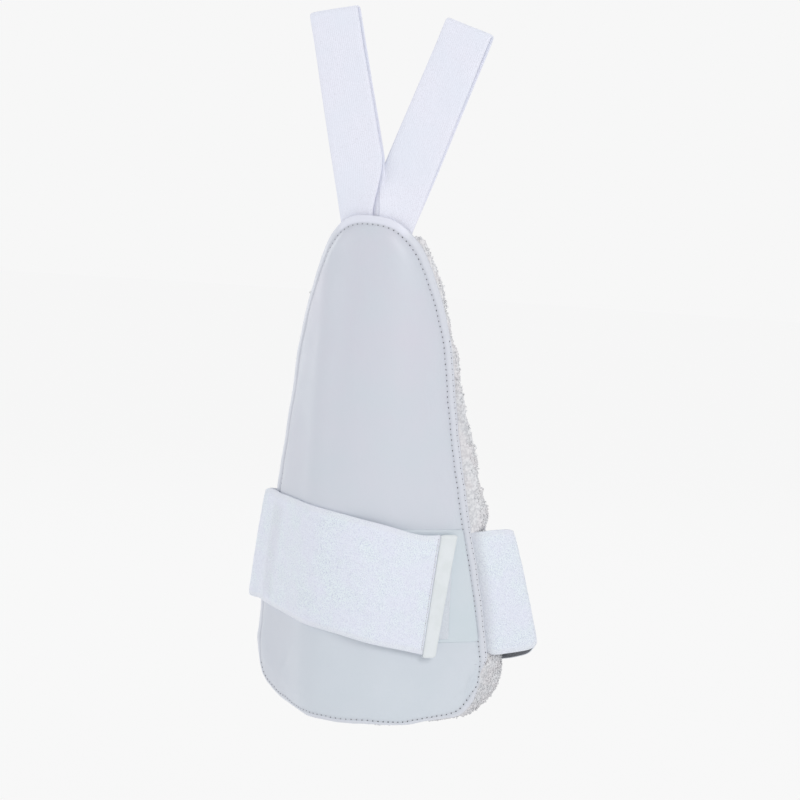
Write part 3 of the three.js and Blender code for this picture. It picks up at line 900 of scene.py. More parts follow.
FINE_INSETS = np.array([0, 0.35, 0.9, 1.6, 2.5, 3.4, 4.3, 5, 5.5, 6, 6.7, 7.6, 8.8]) * MM
BROAD_INSETS = np.array([10.2, 11.8]) * MM
FINE_COUNT = 1440


def bevel_raise(inset):
    return FACE_RAISE * np.clip((inset - FLANGE_WIDTH) / BEVEL_WIDTH, 0, 1)


def seam_shift(ring, inset):
    """How much nearer to the edge the seam runs along the bottom."""
    top = np.where(ring[:, 0] > 0, SEAM_SHIFT_RIGHT, SEAM_SHIFT_LEFT)
    low = 1 - smoothstep(ring[:, 1], top - 14 * MM, top)
    return SEAM_SHIFT * low * np.exp(-(((inset - STITCH_INSET) / (3 * MM)) ** 2))


def corner_tuck(ring, inset):
    """How far the cover's edge draws back at the lower corner on the strap's side."""
    height = ring[:, 1]
    level = smoothstep(height, 9 * MM, 20 * MM) * (1 - smoothstep(height, 28 * MM, 43 * MM))
    return CORNER_TUCK * level * (ring[:, 0] > 0) * (1 - smoothstep(inset, 4 * MM, 20 * MM))


def corner_drop(places):
    """How far the lower corner on the strap's side hangs down at places."""
    low = 1 - smoothstep(places[:, 2] + SEAT_HEIGHT, *CORNER_HEIGHT)
    return table_value(CORNER_DROP, places[:, 0] / MM) * MM * low


def edge_wobble(places, inset):
    """The sewn edge isn't ruled: it wanders a little in and out, and more at the lower corners."""
    corner = 1 + smoothstep(-places[:, 2], SEAT_HEIGHT - 60 * MM, SEAT_HEIGHT - 20 * MM)
    return layered(places, EDGE_WANDER) * corner * MM * (1 - smoothstep(inset, 4 * MM, 20 * MM))


def stitch_phase(points, count):
    """How far along the row of stitches each point of the seam lies, in stitches."""
    step = np.linalg.norm(np.roll(points, -1, axis=0) - points, axis=1)
    start = np.concatenate([[0], np.cumsum(step)[:-1]])
    return start / step.sum() * count


def seam_ring(inset, lift):
    """The line of a seam round the cover, and its outward directions."""
    ring = flat_rings(FINE_COUNT, [inset], [])[0]
    places = cover_places(ring, inset)
    angle = arch_angle(ring[:, 0])
    normals = np.stack([np.sin(angle), -np.cos(angle), 0 * angle], axis=1)
    return places + normals * lift, normals


def cover_places(ring, inset, push=None):
    if push is None:
        push = cover_push(np.full(len(ring), inset), ring[:, 0], ring[:, 1])
    places = arch_place(ring[:, 0], ring[:, 1], push)
    places[:, 2] -= corner_drop(places)
    shift = edge_wobble(places, inset) - seam_shift(ring, inset) + corner_tuck(ring, inset)
    _, inward = make_outline(len(ring))
    places[:, 0] += inward[:, 0] * shift
    places[:, 2] += inward[:, 1] * shift + TOP_LIFT * smoothstep(ring[:, 1], PAD_HEIGHT - 50 * MM, PAD_HEIGHT)
    return places


def make_cover():
    shell = Shell()
    groove = []
    flange = []
    loop_end = []
    fine_rings = flat_rings(FINE_COUNT, FINE_INSETS, [])
    seam, _ = seam_ring(STITCH_INSET, 0)
    count = max(2, round(polyline_length(seam, True) / STITCH_PITCH))
    near_hole = 0.5 - 0.5 * np.cos(2 * math.pi * stitch_phase(seam, count))
    last = None
    for ring, inset in zip(fine_rings, FINE_INSETS):
        push = cover_push(np.full(len(ring), inset), ring[:, 0], ring[:, 1])
        hollow = math.exp(-(((inset - STITCH_INSET) / (0.8 * MM)) ** 2))
        push = push - near_hole**3 * hollow * 0.22 * MM
        index = shell.add(cover_places(ring, inset, push))
        # Painted shade in the sewn groove, strongest at the needle holes.
        groove.append(np.full(len(ring), 0.4 * hollow) * (0.6 + 0.4 * near_hole))
        # Painted highlight: marks the flange outside the seam, which is made lighter.
        flange.append(np.full(len(ring), 1 - smoothstep(inset, 3 * MM, 6.2 * MM)))
        between = 1 - smoothstep(np.abs(ring[:, 0] - 1 * MM), 20 * MM, 27 * MM)
        outside = 1 - smoothstep(inset, 4.2 * MM, 5.4 * MM)
        loop_end.append(0.7 * between * outside * smoothstep(ring[:, 1], 296 * MM, 304 * MM))
        if last is not None:
            shell.strip(last, index)
        else:
            rim = index
        last = index
    shares = np.linspace(0, 1, 41)[1:]
    broad_rings = flat_rings(FINE_COUNT // 2, BROAD_INSETS, shares)
    for number, ring in enumerate(broad_rings):
        inset = distance_inside(ring[:, 0], ring[:, 1])
        index = shell.add(cover_places(ring, inset, cover_push(inset, ring[:, 0], ring[:, 1])))
        groove.append(np.zeros(len(ring)))
        if number == 0:
            shell.halve(last, index)
        else:
            shell.strip(last, index)
        last = index
    back_insets = np.array([0.4, 1.5, 4, 6, 8.5, 11]) * MM
    back_rings = flat_rings(FINE_COUNT // 2, back_insets, np.linspace(0, 1, 13)[1:])
    last = None
    for ring in back_rings:
        inset = distance_inside(ring[:, 0], ring[:, 1])
        index = shell.add(cover_places(ring, inset, bevel_raise(inset) - COVER_THICKNESS))
        groove.append(np.zeros(len(ring)))
        if last is None:
            shell.halve(rim, index)
        else:
            shell.strip(last, index)
        last = index
    rest = (0, shell.count - sum(map(len, flange)))
    marks = {
        "groove": np.concatenate(groove),
        "flange": np.pad(np.concatenate(flange), rest),
        "loop_end": np.pad(np.concatenate(loop_end), rest),
    }
    return shell.finish("front_cover_sheet", COVER, marks, merge=0.002 * MM)


# The padding.


def depth_at(height):
    return LOWER_DEPTH + (UPPER_DEPTH - LOWER_DEPTH) * smoothstep(height / PAD_HEIGHT, *DEPTH_CHANGE)


def top_recess(height):
    return smoothstep(height, PAD_HEIGHT - TOP_INSET_FROM, PAD_HEIGHT - TOP_INSET_TO)


def wall_bulge(places, height):
    """How far the wall swells out at places round the padding's edge."""
    side = smoothstep(places[:, 0], -20 * MM, 30 * MM)
    right = table_value(RIGHT_BULGE, height / MM)
    return (LEFT_BULGE + (right - LEFT_BULGE) * side) * (1 - 0.8 * top_recess(height)) * MM


def make_padding():
    """The towelling-covered padding: held at its front and swollen by cloth simulation behind."""
    count = PAD_STATIONS
    shell = Shell()
    held = []
    level = -COVER_THICKNESS - 2 * CLEARANCE
    insets = np.array([1, 3.5, 6, 8.5, 11]) * MM
    shares = np.linspace(0, 1, 13)[1:]
    front_rings = []
    for number in range(len(insets) + len(shares)):
        fade = 1 - min(number, len(insets)) / len(insets)
        rings = flat_rings(count, insets, shares, lambda height: TOP_INSET * top_recess(height) * fade)
        front_rings.append(rings[number])
    last = None
    for number, ring in enumerate(front_rings):
        inset = insets[min(number, len(insets) - 1)]
        drop = 2 * CLEARANCE * np.sqrt(top_recess(ring[:, 1]))
        raised = bevel_raise(inset - corner_tuck(ring, 0))
        index = shell.add(arch_place(ring[:, 0], ring[:, 1], raised + level - drop))
        held.append(np.ones(count))
        if last is None:
            front = index
        else:
            shell.strip(last, index)
        last = index

    _, inward = make_outline(count)
    front_places = shell.points[0]
    depth = depth_at(front_rings[0][:, 1])
    bulge = wall_bulge(front_places, front_rings[0][:, 1])
    lower = front
    for share in np.linspace(0, 0.9, 9)[1:]:
        places = front_places.copy()
        out = bulge * math.sin(math.pi * share**0.8)
        places[:, 0] -= inward[:, 0] * out
        places[:, 2] -= inward[:, 1] * out
        places[:, 1] += (depth - RIM_RADIUS * 0.4) * share
        index = shell.add(places)
        held.append(np.full(count, 1.0 if share < 0.2 else 0.0))
        shell.strip(lower, index)
        lower = index

    rim_insets = np.array([1, 2.2, 3.8, 6, 9]) * MM
    rim_drops = np.array([0.5, 0.26, 0.11, 0.02, 0]) * RIM_RADIUS
    back_shares = np.linspace(0, 1, 27)[1:]
    back_rings = flat_rings(count, rim_insets, back_shares, lambda height: TOP_INSET * top_recess(height))
    for number, ring in enumerate(back_rings):
        drop = rim_drops[number] if number < len(rim_drops) else 0
        places = arch_place(ring[:, 0], ring[:, 1], level)
        thin = np.minimum(1, depth_at(ring[:, 1]) / (2 * RIM_RADIUS))
        places[:, 1] += depth_at(ring[:, 1]) - drop * thin
        out = bulge * 0.5 * max(0, 1 - number / 5)
        places[:, 0] -= inward[:, 0] * out
        places[:, 2] -= inward[:, 1] * out
        index = shell.add(places)
        held.append(np.zeros(count))
        shell.strip(lower, index)
        lower = index
    for places in shell.points:
        places[:, 2] -= corner_drop(places)
    pad = shell.finish("padding_towelling", TOWEL, {"held": np.concatenate(held)}, merge=0.002 * MM)
    swell(pad)
    return dress_padding(pad)


def swell(pad):
    """Blows the padding up a little as cloth, with its front held."""
    start = vertex_values(pad)
    group = pad.vertex_groups.new(name="held")
    for index in np.flatnonzero(held_share(pad) > 0.5):
        group.add([int(index)], 1.0, "REPLACE")
    modifier = pad.modifiers.new("swell", "CLOTH")
    for key, value in SWELL_SETTINGS.items():
        setattr(modifier.settings, key, value)
    modifier.settings.effector_weights.gravity = 0
    modifier.collision_settings.use_collision = False
    scene = bpy.context.scene
    for step in range(SWELL_STEPS):
        scene.frame_set(step + 1)
    settle(pad)
    scene.frame_set(1)
    moved = vertex_values(pad) - start
    length = np.linalg.norm(moved, axis=1)
    allowed = np.minimum(length, SWELL_CAP * np.tanh(length / SWELL_CAP))
    move_vertices(pad, start + moved * (allowed / np.maximum(length, 1e-9))[:, None])


def dress_padding(pad):
    """Subdivides the padding and lumps its surface."""
    pad.modifiers.new("finer", "SUBSURF").levels = 1
    pad.modifiers["finer"].render_levels = 1
    settle(pad)
    places = vertex_values(pad)
    free = 1 - smoothstep(held_share(pad), 0.1, 0.9)
    lumps = layered(places, TOWELLING_LUMPS)
    move_vertices(pad, places + vertex_values(pad, "normal") * (lumps * free * MM)[:, None])
    pad.data.polygons.foreach_set("use_smooth", np.ones(len(pad.data.polygons), bool))
    return pad


def pile_masks(pad):
    """Shares of the loops' density on the sides, the lower back and the upper back."""
    places = vertex_values(pad)
    normals = vertex_values(pad, "normal")
    free = 1 - smoothstep(held_share(pad), 0.05, 0.6)
    back = smoothstep(normals[:, 1], 0.55, 0.75)
    middle = smoothstep(places[:, 2], 28 * MM, 30 * MM)
    height = places[:, 2] + SEAT_HEIGHT
    edge = arch_place(half_width(height), height, 0.0)
    strap_band = np.abs(height - strap_middle(1.0)) < STRAP_WIDTH * 0.52
    behind = places[:, 1] - edge[:, 1]
    by_strap = strap_band & (places[:, 0] > 0) & (behind < 14 * MM)
    free = free * np.where(by_strap, 0, 1)
    past_arch = (places[:, 0] - RIDGE_RADIUS * math.sin(FLANK_SLOPE)) / math.cos(FLANK_SLOPE)
    along = RIDGE_RADIUS * FLANK_SLOPE + past_arch
    bare = (along > 50 * MM) & (height > 8 * MM) & (height < 42 * MM) & (normals[:, 1] < 0)
    free = np.where(bare & (distance_inside(along, height) < 4 * MM), 1, free)
    return {
        "towelling_sides": free * (1 - back),
        "towelling_lower_back": free * back * (1 - middle),
        "towelling_upper_back": free * back * middle,
    }


def make_towelling(pad):
    """The loops of the towelling, in three pieces."""
    pieces = []
    for number, (name, mask) in enumerate(pile_masks(pad).items()):
        item = add_item(name, pad.data.copy())
        layer = item.data.attributes.new("pile", "FLOAT", "POINT")
        layer.data.foreach_set("value", mask.astype(np.float32))
        sizes = SIDE_LOOPS if name == "towelling_sides" else BACK_LOOPS
        pieces.append(apply_tree(item, LOOPS, seed=31 + number, **sizes))
    return pieces


# Bands and sheets.


def unit(vectors):
    return vectors / np.maximum(np.linalg.norm(vectors, axis=-1), 1e-12)[..., None]


def surface_frame(middle):
    """Directions along and across a grid of points, and its outward normals."""
    along = unit(np.gradient(middle, axis=0))
    across = unit(np.gradient(middle, axis=1))
    return along, across, unit(np.cross(along, across))


def band(name, material, middle, thickness, selvage=3 * MM, edge_steps=4, marks=None, near_only=()):
    """One closed strip of cloth round a grid of middle points, stations by rows, with rounded edges."""
    stations, rows = middle.shape[:2]
    along, across, normal = surface_frame(middle)
    half = np.broadcast_to(thickness, (stations, rows))[..., None] / 2
    turns = [math.pi * step / edge_steps for step in range(1, edge_steps)]
    parts = [middle + normal * half]
    for turn in turns:
        side = across[:, -1:] * math.sin(turn) + normal[:, -1:] * math.cos(turn)
        parts.append(middle[:, -1:] + side * half[:, -1:])
    parts.append((middle - normal * half)[:, ::-1])
    for turn in turns:
        side = -across[:, :1] * math.sin(turn) - normal[:, :1] * math.cos(turn)
        parts.append(middle[:, :1] + side * half[:, :1])
    rings = np.concatenate(parts, axis=1)
    around = rings.shape[1]

    row_steps = np.linalg.norm(np.diff(middle, axis=1), axis=2).mean(axis=0)
    row_at = np.concatenate([[0], np.cumsum(row_steps)])
    station_steps = np.linalg.norm(np.diff(middle, axis=0), axis=2).mean(axis=1)
    station_at = np.concatenate([[0], np.cumsum(station_steps)])
    ends = [np.full(len(turns), row_at[-1]), np.full(len(turns), row_at[0])]
    ring_row = np.concatenate([row_at, ends[0], row_at[::-1], ends[1]])
    lay = np.stack(np.meshgrid(station_at, ring_row, indexing="ij"), axis=-1).reshape(-1, 2)
    edge_gap = np.minimum(ring_row, row_at[-1] - ring_row)
    hem = np.tile(1 - smoothstep(edge_gap, selvage * 0.7, selvage * 1.1), stations)

    shell = Shell()
    index = shell.add(rings).reshape(stations, around)
    for station in range(1, stations):
        shell.strip(index[station - 1], index[station])
    for end in (index[0], index[-1]):
        outer = end[:rows]
        inner = end[rows + len(turns):2 * rows + len(turns)][::-1]
        shell.strip(outer, inner, closed=False)
        shell.faces.append(end[rows - 1:rows + len(turns) + 1].tolist())
        shell.faces.append([*end[2 * rows + len(turns) - 1:].tolist(), int(end[0])])
    attributes = {"selvage": hem}
    for key, value in (marks or {}).items():
        far = value * (key not in near_only)
        last, first = far[:, -1:], far[:, :1]
        around_value = [value, last.repeat(len(turns), 1), far[:, ::-1], first.repeat(len(turns), 1)]
        attributes[key] = np.concatenate(around_value, axis=1).ravel()
    return shell.finish(name, material, attributes, uv=lay)


def face_sheet(name, material, low, high, inner, edge_gap, outer, lift, thickness, roll=1.2 * MM):
    """A thin sheet sewn on the face, whose outer edge follows the outline or stays at a place along it."""
    stations, rows = 90, 76
    level = np.linspace(low, high, rows)
    outer = half_width(level) - edge_gap if outer is None else np.full(rows, outer)
    share = np.linspace(0, 1, stations)[:, None]
    along = inner + (outer - inner) * share
    level = np.broadcast_to(level, along.shape)
    inset = distance_inside(along, level)
    push = cover_push(inset, along, level) + lift + thickness / 2
    from_edge = np.minimum(np.minimum(level - low, high - level), along - inner)
    lower = (1 - smoothstep(from_edge, 0, roll)) * thickness * 0.35
    grid = arch_place(along, level, push - lower)
    return band(name, material, grid, thickness * (1 - 0.35 * (lower > 0)), edge_steps=3)


# The leg strap.


def strap_climb(along):
    stack = PANEL_THICKNESS + PATCH_THICKNESS + 2 * CLEARANCE
    return CLEARANCE + stack * smoothstep(along, *STRAP_CLIMB)


def strap_middle(share):
    return STRAP_END_HEIGHT + STRAP_WIDTH * table_value(STRAP_RISE, share)


def strap_plan(station, height, lift):
    """The place of the strap's middle in plan, run by run, for stations and heights of equal shape."""
    lengths = list(STRAP_RUNS.values())
    starts = np.cumsum(lengths) - lengths
    front, wrap, back, fold, side = (
        np.clip((station - begin) / length, 0, 1) for begin, length in zip(starts, lengths)
    )
    edge = arch_place(half_width(height), height, 0.0)
    level = FACE_RAISE + STRAP_THICKNESS / 2
    overhang = LEFT_OVERHANG + LEFT_OVERHANG_LEAN * (STRAP_END_HEIGHT - height)
    wrap_start = -(half_width(height) + overhang)
    start = STRAP_END_ALONG + lift * math.tan(STRAP_END_LEAN)
    along = start + (wrap_start - start) * front
    from_edge = half_width(height) + np.minimum(along, 0)
    sink = STRAP_SINK * (1 - smoothstep(from_edge, 2 * MM, 15 * MM)) * (along < 0)
    on_face = arch_place(along, height, level + strap_climb(along) - sink)[..., :2]

    leave = arch_place(wrap_start, height, level + CLEARANCE - STRAP_SINK)
    wrap_x = leave[..., 0] + LEFT_WRAP_RADIUS * math.sin(FLANK_SLOPE)
    wrap_y = leave[..., 1] + LEFT_WRAP_RADIUS * math.cos(FLANK_SLOPE)
    turn = wrap * (math.pi - FLANK_SLOPE)
    bent = LEFT_WRAP_RADIUS * (1 + LEFT_FOLD_SHARPNESS * np.exp(-(((turn - LEFT_FOLD_TURN) / 0.33) ** 2)))
    round_left = on_circle(wrap_x, wrap_y, bent, math.pi * 1.5 - FLANK_SLOPE - turn)

    fold_x = edge[..., 0] + RIGHT_FOLD_OUT + RIGHT_FOLD_LEAN * (STRAP_END_HEIGHT - height)
    fold_y = edge[..., 1] + RIGHT_FOLD_BACK
    behind_y = wrap_y + LEFT_WRAP_RADIUS
    behind = [wrap_x + (fold_x - wrap_x) * back, behind_y + (fold_y + RIGHT_FOLD_RADIUS - behind_y) * back]

    seam = arch_place(half_width(height) - SEAM_TUCK, height, -SEAM_DEPTH)[..., :2]
    gap_x, gap_y = fold_x - seam[..., 0], fold_y - seam[..., 1]
    heading = np.arctan2(gap_y, gap_x) - np.arcsin(RIGHT_FOLD_RADIUS / np.hypot(gap_x, gap_y))
    fold_end = heading - math.pi / 2
    angle = math.pi / 2 + (fold_end - math.pi / 2) * fold
    round_right = on_circle(fold_x, fold_y, RIGHT_FOLD_RADIUS, angle)
    leaving = on_circle(fold_x, fold_y, RIGHT_FOLD_RADIUS, fold_end)
    to_seam = leaving + (seam - leaving) * side[..., None]
    plan = on_face
    for begin, places in zip(starts[1:], (round_left, np.stack(behind, axis=-1), round_right, to_seam)):
        plan = np.where((station >= begin)[..., None], places, plan)
    return plan


def on_circle(x, y, radius, angle):
    return np.stack([x + radius * np.cos(angle), y + radius * np.sin(angle)], axis=-1)


def strap_grid():
    """The strap's middle surface, with evenly spaced stations."""
    total = sum(STRAP_RUNS.values())
    rows = STRAP_ROWS
    rough = np.linspace(0, total, 1200)
    line = strap_plan(rough, strap_middle(rough / total), 0 * rough)
    length = np.concatenate([[0], np.cumsum(np.linalg.norm(np.diff(line, axis=0), axis=1))])
    stations = np.interp(np.linspace(0, length[-1], STRAP_STATIONS), length, rough)[:, None]
    lift = STRAP_WIDTH * (np.linspace(0, 1, rows) - 0.5)[None, :]
    half = STRAP_WIDTH / 2
    run = np.interp(stations, rough, length)

    wrap_from = STRAP_RUNS["front"]
    fold_from = wrap_from + STRAP_RUNS["wrap"] + STRAP_RUNS["back"]
    wrap_bend = wrap_from + 0.24 * STRAP_RUNS["wrap"]
    fold_bend = fold_from + 0.55 * STRAP_RUNS["fold"]
    draw_in = 0
    for station, radius in ((wrap_bend, 8 * MM), (fold_bend, 7.5 * MM)):
        inside = np.clip(radius - np.abs(run - np.interp(station, rough, length)), 0, radius)
        draw_in = draw_in + radius - np.sqrt(radius**2 - inside**2)
    lift = lift * (1 - 0.55 * draw_in / half) * table_value(STRAP_SPREAD, stations / total)
    from_corner = np.clip(STRAP_CORNER - (length[-1] - run), 0, STRAP_CORNER)
    corner = STRAP_CORNER - np.sqrt(STRAP_CORNER**2 - from_corner**2)
    lift = np.where(lift < 0, lift * (1 - 0.8 * corner / half), lift)
    lift, station = np.broadcast_arrays(lift, stations)
    waver = 0.5 * MM * np.sin(run / (23 * MM) + 0.6) * np.sign(lift) * (np.abs(lift) / half) ** 4
    height = strap_middle(station / total) + lift + waver
    plan = strap_plan(station, height, lift)
    return np.concatenate([plan, (height - SEAT_HEIGHT)[..., None]], axis=2)


def soften(grid, times):
    """Evens out a grid along its stations, with its two ends kept."""
    for _ in range(times):
        grid[1:-1] = grid[1:-1] / 2 + (grid[:-2] + grid[2:]) / 4
    return grid


def make_strap():
    grid = soften(strap_grid(), 8)
    _, _, normal = surface_frame(grid)
    swell_out = layered(grid, STRAP_WAVES) * MM
    from_end = polyline_distance(grid)
    near_seam = 1 - smoothstep(from_end, 3 * MM, 12 * MM)
    pucker = near_seam * rumple(grid * [0.3, 0.3, 1], 5 * MM, 33) * 0.9 * MM
    grid = grid + normal * (swell_out + pucker)[..., None]
    rows = grid.shape[1]
    across = np.abs(np.linspace(-1, 1, rows))[None, :]
    pinch = 1 - 0.6 * (1 - smoothstep(from_end, 0, 6 * MM))
    thickness = STRAP_THICKNESS * (1 - 0.22 * smoothstep(across, 0.9, 1)) * pinch
    height = grid[..., 2] + SEAT_HEIGHT
    edge = arch_place(-half_width(height), height, 0.0)
    past_edge = np.hypot(grid[..., 0] - edge[..., 0] - 12.5 * MM, grid[..., 1] - edge[..., 1] + 12 * MM)
    on_front = np.arange(len(grid))[:, None] < len(grid) * 0.5
    bend = np.exp(-((past_edge / (9 * MM)) ** 4)) * on_front * (1 - smoothstep(across, 0.7, 0.95))
    shade = np.clip(0.6 * near_seam + 0.25 * bend, 0, 1)
    # Painted shade in the pocket by the right fold: the strap's lower part is made nearly black there.
    from_fold = grid[..., 0].max() - grid[..., 0]
    low_edge = 1 - smoothstep(np.linspace(0, 1, rows)[None, :], 0.12, 0.35)
    pocket_shade = (1 - smoothstep(from_fold, 30 * MM, 50 * MM)) * smoothstep(from_end, 26 * MM, 34 * MM) * low_edge
    marks = {"shade": shade, "pocket_shade": 0.9 * pocket_shade}
    strap = band("leg_strap_elastic", BRUSHED, grid, thickness, 3.2 * MM, marks=marks, near_only=("pocket_shade",))
    return strap, grid, thickness


def polyline_distance(grid):
    """How far each point of a grid lies from its last station, along its row."""
    step = np.linalg.norm(np.diff(grid, axis=0), axis=2)
    left = np.cumsum(step[::-1], axis=0)[::-1]
    return np.concatenate([left, np.zeros((1, grid.shape[1]))])


def sew_on_strap(name, grid, thickness, **values):
    """A row of stitches across the strap's free end, on its outer face."""
    station, rows = 1, slice(2, grid.shape[1] - 2)
    outward = surface_frame(grid)[2][station, rows]
    middle = grid[station, rows]
    if outward.mean(axis=0) @ (middle.mean(axis=0) - grid.reshape(-1, 3).mean(axis=0)) < 0:
        outward = -outward
    half = np.broadcast_to(thickness, grid.shape[:2])[station, rows][:, None] / 2
    return sew(name, middle + outward * half, outward, **values)


def make_tab():
    """The folded band on the strap's free end."""
    stations, rows = 20, 60
    half = STRAP_WIDTH * STRAP_SPREAD[0][1] / 2
    lift = np.linspace(-half - TAB_OVERHANG, half - CLEARANCE, rows)[None, :]
    start = STRAP_END_ALONG + lift * math.tan(STRAP_END_LEAN) + CLEARANCE
    share = np.linspace(0, 1, stations)[:, None]
    along = start + (TAB_WIDTH + TAB_TAPER * lift / half) * share
    height = np.broadcast_to(strap_middle(0.0) + lift, along.shape)
    grid = arch_place(along, height, FACE_RAISE + strap_climb(along) + TAB_THICKNESS / 2)
    round_off = 1 - (2 * share - 1) ** 4
    thickness = TAB_THICKNESS * (0.45 + 0.55 * round_off) * np.ones((1, rows))
    grid = grid + surface_frame(grid)[2] * (rumple(grid, 14 * MM, 41) * 0.15 * MM)[..., None]
    return band("strap_end_band", SMOOTH_TAB, grid, thickness, edge_steps=6)


# The belt loops.


def loop_grid(side, outer, splay, gap, length, twist, tilt, gather, slack):
    """A folded loop's middle surface: up its front layer, over the fold and down its back layer.

    The tilt is the share by which the inner edge is longer than the outer one. The gather is the height over
    which the loop spreads to its width, and the slack is how much less the back layer is gathered.
    """
    splay = math.radians(splay)
    fold_radius = (gap + LOOP_THICKNESS) / 2
    share = np.linspace(0, 1, 90)
    open_by = smoothstep(share, 0, LOOP_OPEN_BY)
    half = (LOOP_THICKNESS + LOOP_ROOT_GAP + (gap - LOOP_ROOT_GAP) * open_by) / 2
    rise = share * (length - fold_radius)
    turn = np.linspace(0, math.pi, 17)[1:-1]
    rise = np.concatenate([rise, length - fold_radius + fold_radius * np.sin(turn), rise[::-1]])
    behind = np.concatenate([-half, -fold_radius * np.cos(turn), half[::-1]])

    up = Vector((side * math.sin(splay), math.sin(LOOP_LEAN), math.cos(splay))).normalized()
    across = Vector((math.cos(splay), 0, -side * math.sin(splay))).normalized()
    back = up.cross(across).normalized()
    stack = LOOP_THICKNESS + LOOP_ROOT_GAP / 2
    root = arch_place(side * outer, LOOP_ROOT_HEIGHT, -COVER_THICKNESS - LOOP_ROOT_CLEARANCE - stack)
    root_turn = side * LOOP_ROOT_TURN * ((outer - LOOP_ROOT_WIDTH / 2) / RIDGE_RADIUS)
    rows = 34
    at_row = np.linspace(0, 1, rows)
    grid = np.empty((len(rise), rows, 3))
    for station, (climb, depth) in enumerate(zip(rise, behind)):
        spread = float(smoothstep(climb, 0, gather))
        root_width = LOOP_ROOT_WIDTH + (slack if depth > 0 else 0)
        width = root_width + (LOOP_WIDTH - root_width) * spread
        angle = root_turn * (1 - spread) + math.radians(twist) * float(smoothstep(climb, 5 * MM, length))
        turned = Matrix.Rotation(angle, 3, up)
        sideways, rearward = np.array(turned @ across), np.array(turned @ back)
        row_climb = climb * (1 + tilt * at_row[:, None])
        pivot = root + np.array(up) * row_climb + rearward * depth
        grid[station] = pivot - side * width * at_row[:, None] * sideways
    return grid


def make_loop(name, values):
    grid = loop_grid(**values)
    _, _, normal = surface_frame(grid)
    across = np.linspace(0, 1, grid.shape[1])[None, :]
    climb = grid[..., 2] - grid[..., 2].min()
    fade = smoothstep(climb, 10 * MM, 45 * MM)
    grid = grid + normal * (layered(grid, LOOP_WAVES) * fade * MM)[..., None]
    thickness = LOOP_THICKNESS * (1 - 0.3 * smoothstep(np.abs(2 * across - 1), 0.88, 1))
    return band(name, RIBBED, grid, thickness * np.ones(grid.shape[:2]), selvage=2.2 * MM)


# The studio.


PAD_MIDDLE = np.array([0, -SEAT_DEPTH, PAD_HEIGHT / 2 - SEAT_HEIGHT])


def view_axes(azimuth, elevation):
    flat = math.cos(elevation)
    back = np.array([math.sin(azimuth) * flat, -math.cos(azimuth) * flat, math.sin(elevation)])
    right = np.array([math.cos(azimuth), math.sin(azimuth), 0])
    return back, right, np.cross(back, right)


def make_camera():
    back, right, up = view_axes(VIEW_AZIMUTH, VIEW_ELEVATION)
    right, up = (
        right * math.cos(VIEW_ROLL) + up * math.sin(VIEW_ROLL),
        up * math.cos(VIEW_ROLL) - right * math.sin(VIEW_ROLL),
    )
    eye = PAD_MIDDLE + back * VIEW_DISTANCE
    aim = PAD_MIDDLE + right * VIEW_RIGHT + up * VIEW_UP
    toward = (aim - eye) / np.linalg.norm(aim - eye)
    side = np.cross(toward, up)
    side /= np.linalg.norm(side)
    top = np.cross(side, toward)
    camera = add_item("camera", bpy.data.cameras.new("camera"))
    camera.data.sensor_width = 36
    camera.data.lens = VIEW_LENS
    camera.data.clip_start = 0.05
    camera.data.clip_end = 60
    turn = Matrix((side, top, -toward)).transposed().to_4x4()
    camera.matrix_world = Matrix.Translation(Vector(eye)) @ turn
    bpy.context.scene.camera = camera


def make_floor():
    """A wide round floor under the pad."""
    level = float(cad_box[0].z) - FLOOR_GAP
    turn = np.linspace(0, 2 * math.pi, FLOOR_SIDES + 1)[:-1]
    shell = Shell()
    rings = [
        shell.add(np.stack([radius * np.cos(turn), radius * np.sin(turn), 0 * turn + level], axis=1))
        for radius in FLOOR_RINGS
    ]
    shell.faces.append(rings[0].tolist())
    shell.strip(rings[1], rings[0])
    shell.strip(rings[2], rings[1])
    shell.finish("floor", floor_finish())


def make_light(name, azimuth, elevation, distance, size, power, colour):
    data = bpy.data.lights.new(name, "AREA")
    data.shape = "DISK"
    data.size = size
    data.energy = power
    data.color = colour
    light = add_item(name, data)
    back, _, _ = view_axes(math.radians(azimuth), math.radians(elevation))
    light.location = Vector(PAD_MIDDLE + back * distance)
    light.rotation_mode = "QUATERNION"
    light.rotation_quaternion = Vector(-back).to_track_quat("-Z", "Y")


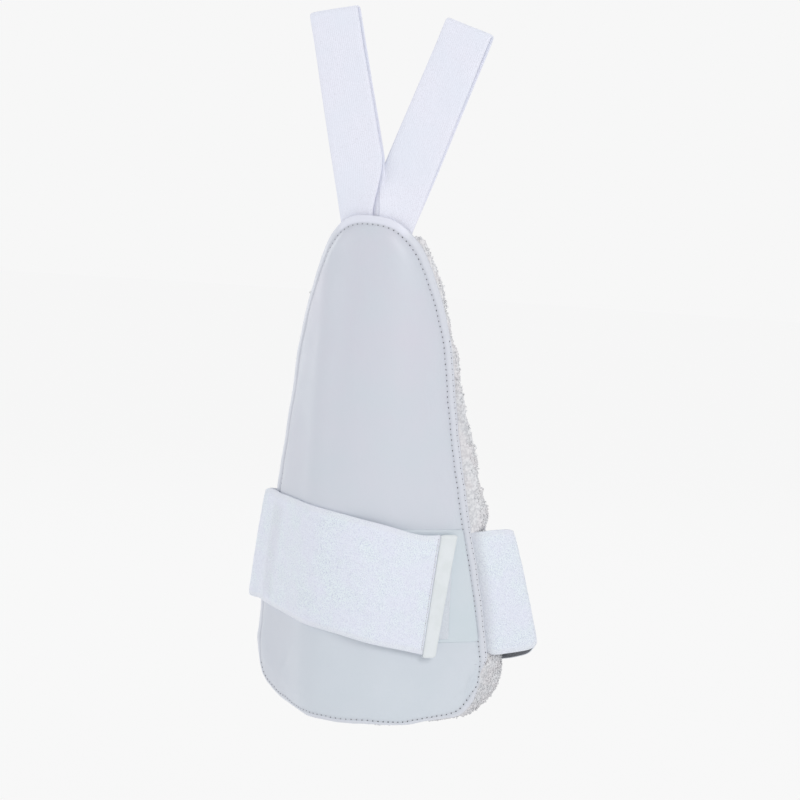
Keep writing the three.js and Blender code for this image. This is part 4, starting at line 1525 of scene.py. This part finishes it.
def make_studio():
    make_floor()
    for name, row in LIGHTS.items():
        make_light(name, *row)
    scene = bpy.context.scene
    world = bpy.data.worlds.new("studio")
    scene.world = world
    world.use_nodes = True
    nodes = world.node_tree.nodes
    background = nodes["Background"]
    background.inputs["Color"].default_value = (1, 1, 1, 1)
    backdrop = nodes.new("ShaderNodeLightPath").outputs["Is Camera Ray"]
    level = nodes.new("ShaderNodeMapRange")
    level.inputs["To Min"].default_value = AMBIENT_LEVEL
    level.inputs["To Max"].default_value = BACKDROP_LEVEL
    world.node_tree.links.new(backdrop, level.inputs["Value"])
    world.node_tree.links.new(level.outputs["Result"], background.inputs["Strength"])
    scene.view_settings.view_transform = "Standard"


def build():
    make_camera()
    make_studio()

    cover = declare(make_cover(), "cover", "front_cover")
    pad = make_padding()
    for piece in make_towelling(pad):
        declare(piece, "towelling")
    declare(pad, "towelling", "back_pad")

    seam, normals = seam_ring(STITCH_INSET, -0.1 * MM)
    declare(sew("edge_stitches", seam, normals, closed=True, seed=3), "cover")
    rim, normals = seam_ring(RIM_STITCH_INSET, 0.0)
    height = rim[:, 2] + SEAT_HEIGHT
    sewn_on = (rim[:, 0] > 0) & (height > RIM_STITCH_FROM) & (height < RIM_STITCH_TO)
    declare(sew("rim_stitches", rim[sewn_on], normals[sewn_on], seed=4, **RIM_STITCHES), "cover")

    panel = declare(
        face_sheet(
            "landing_panel_sheet", PANEL, PANEL_LOW, PANEL_HIGH, PANEL_INNER, PANEL_EDGE_GAP, None,
            PANEL_LIFT, PANEL_WALL,
        ),
        "panel", "landing_panel",
    )

    patch = declare(
        face_sheet(
            "fastening_patch_pile", PILE, PATCH_LOW, PATCH_HIGH, PATCH_INNER, 0, PATCH_OUTER, PATCH_LIFT,
            PATCH_THICKNESS,
        ),
        "patch", "fastening_patch",
    )

    strap, grid, thickness = make_strap()
    declare(strap, "strap", "leg_strap")
    stitches = sew_on_strap("strap_end_stitches", grid, thickness, seed=7, hole_radius=STRAP_HOLE_RADIUS)
    declare(stitches, "strap")
    declare(make_tab(), "tab", "strap_end_tab")

    for node, values in (("loop_left", LEFT_LOOP), ("loop_right", RIGHT_LOOP)):
        loop = declare(make_loop(node + "_elastic", values), "loop", node)


build()
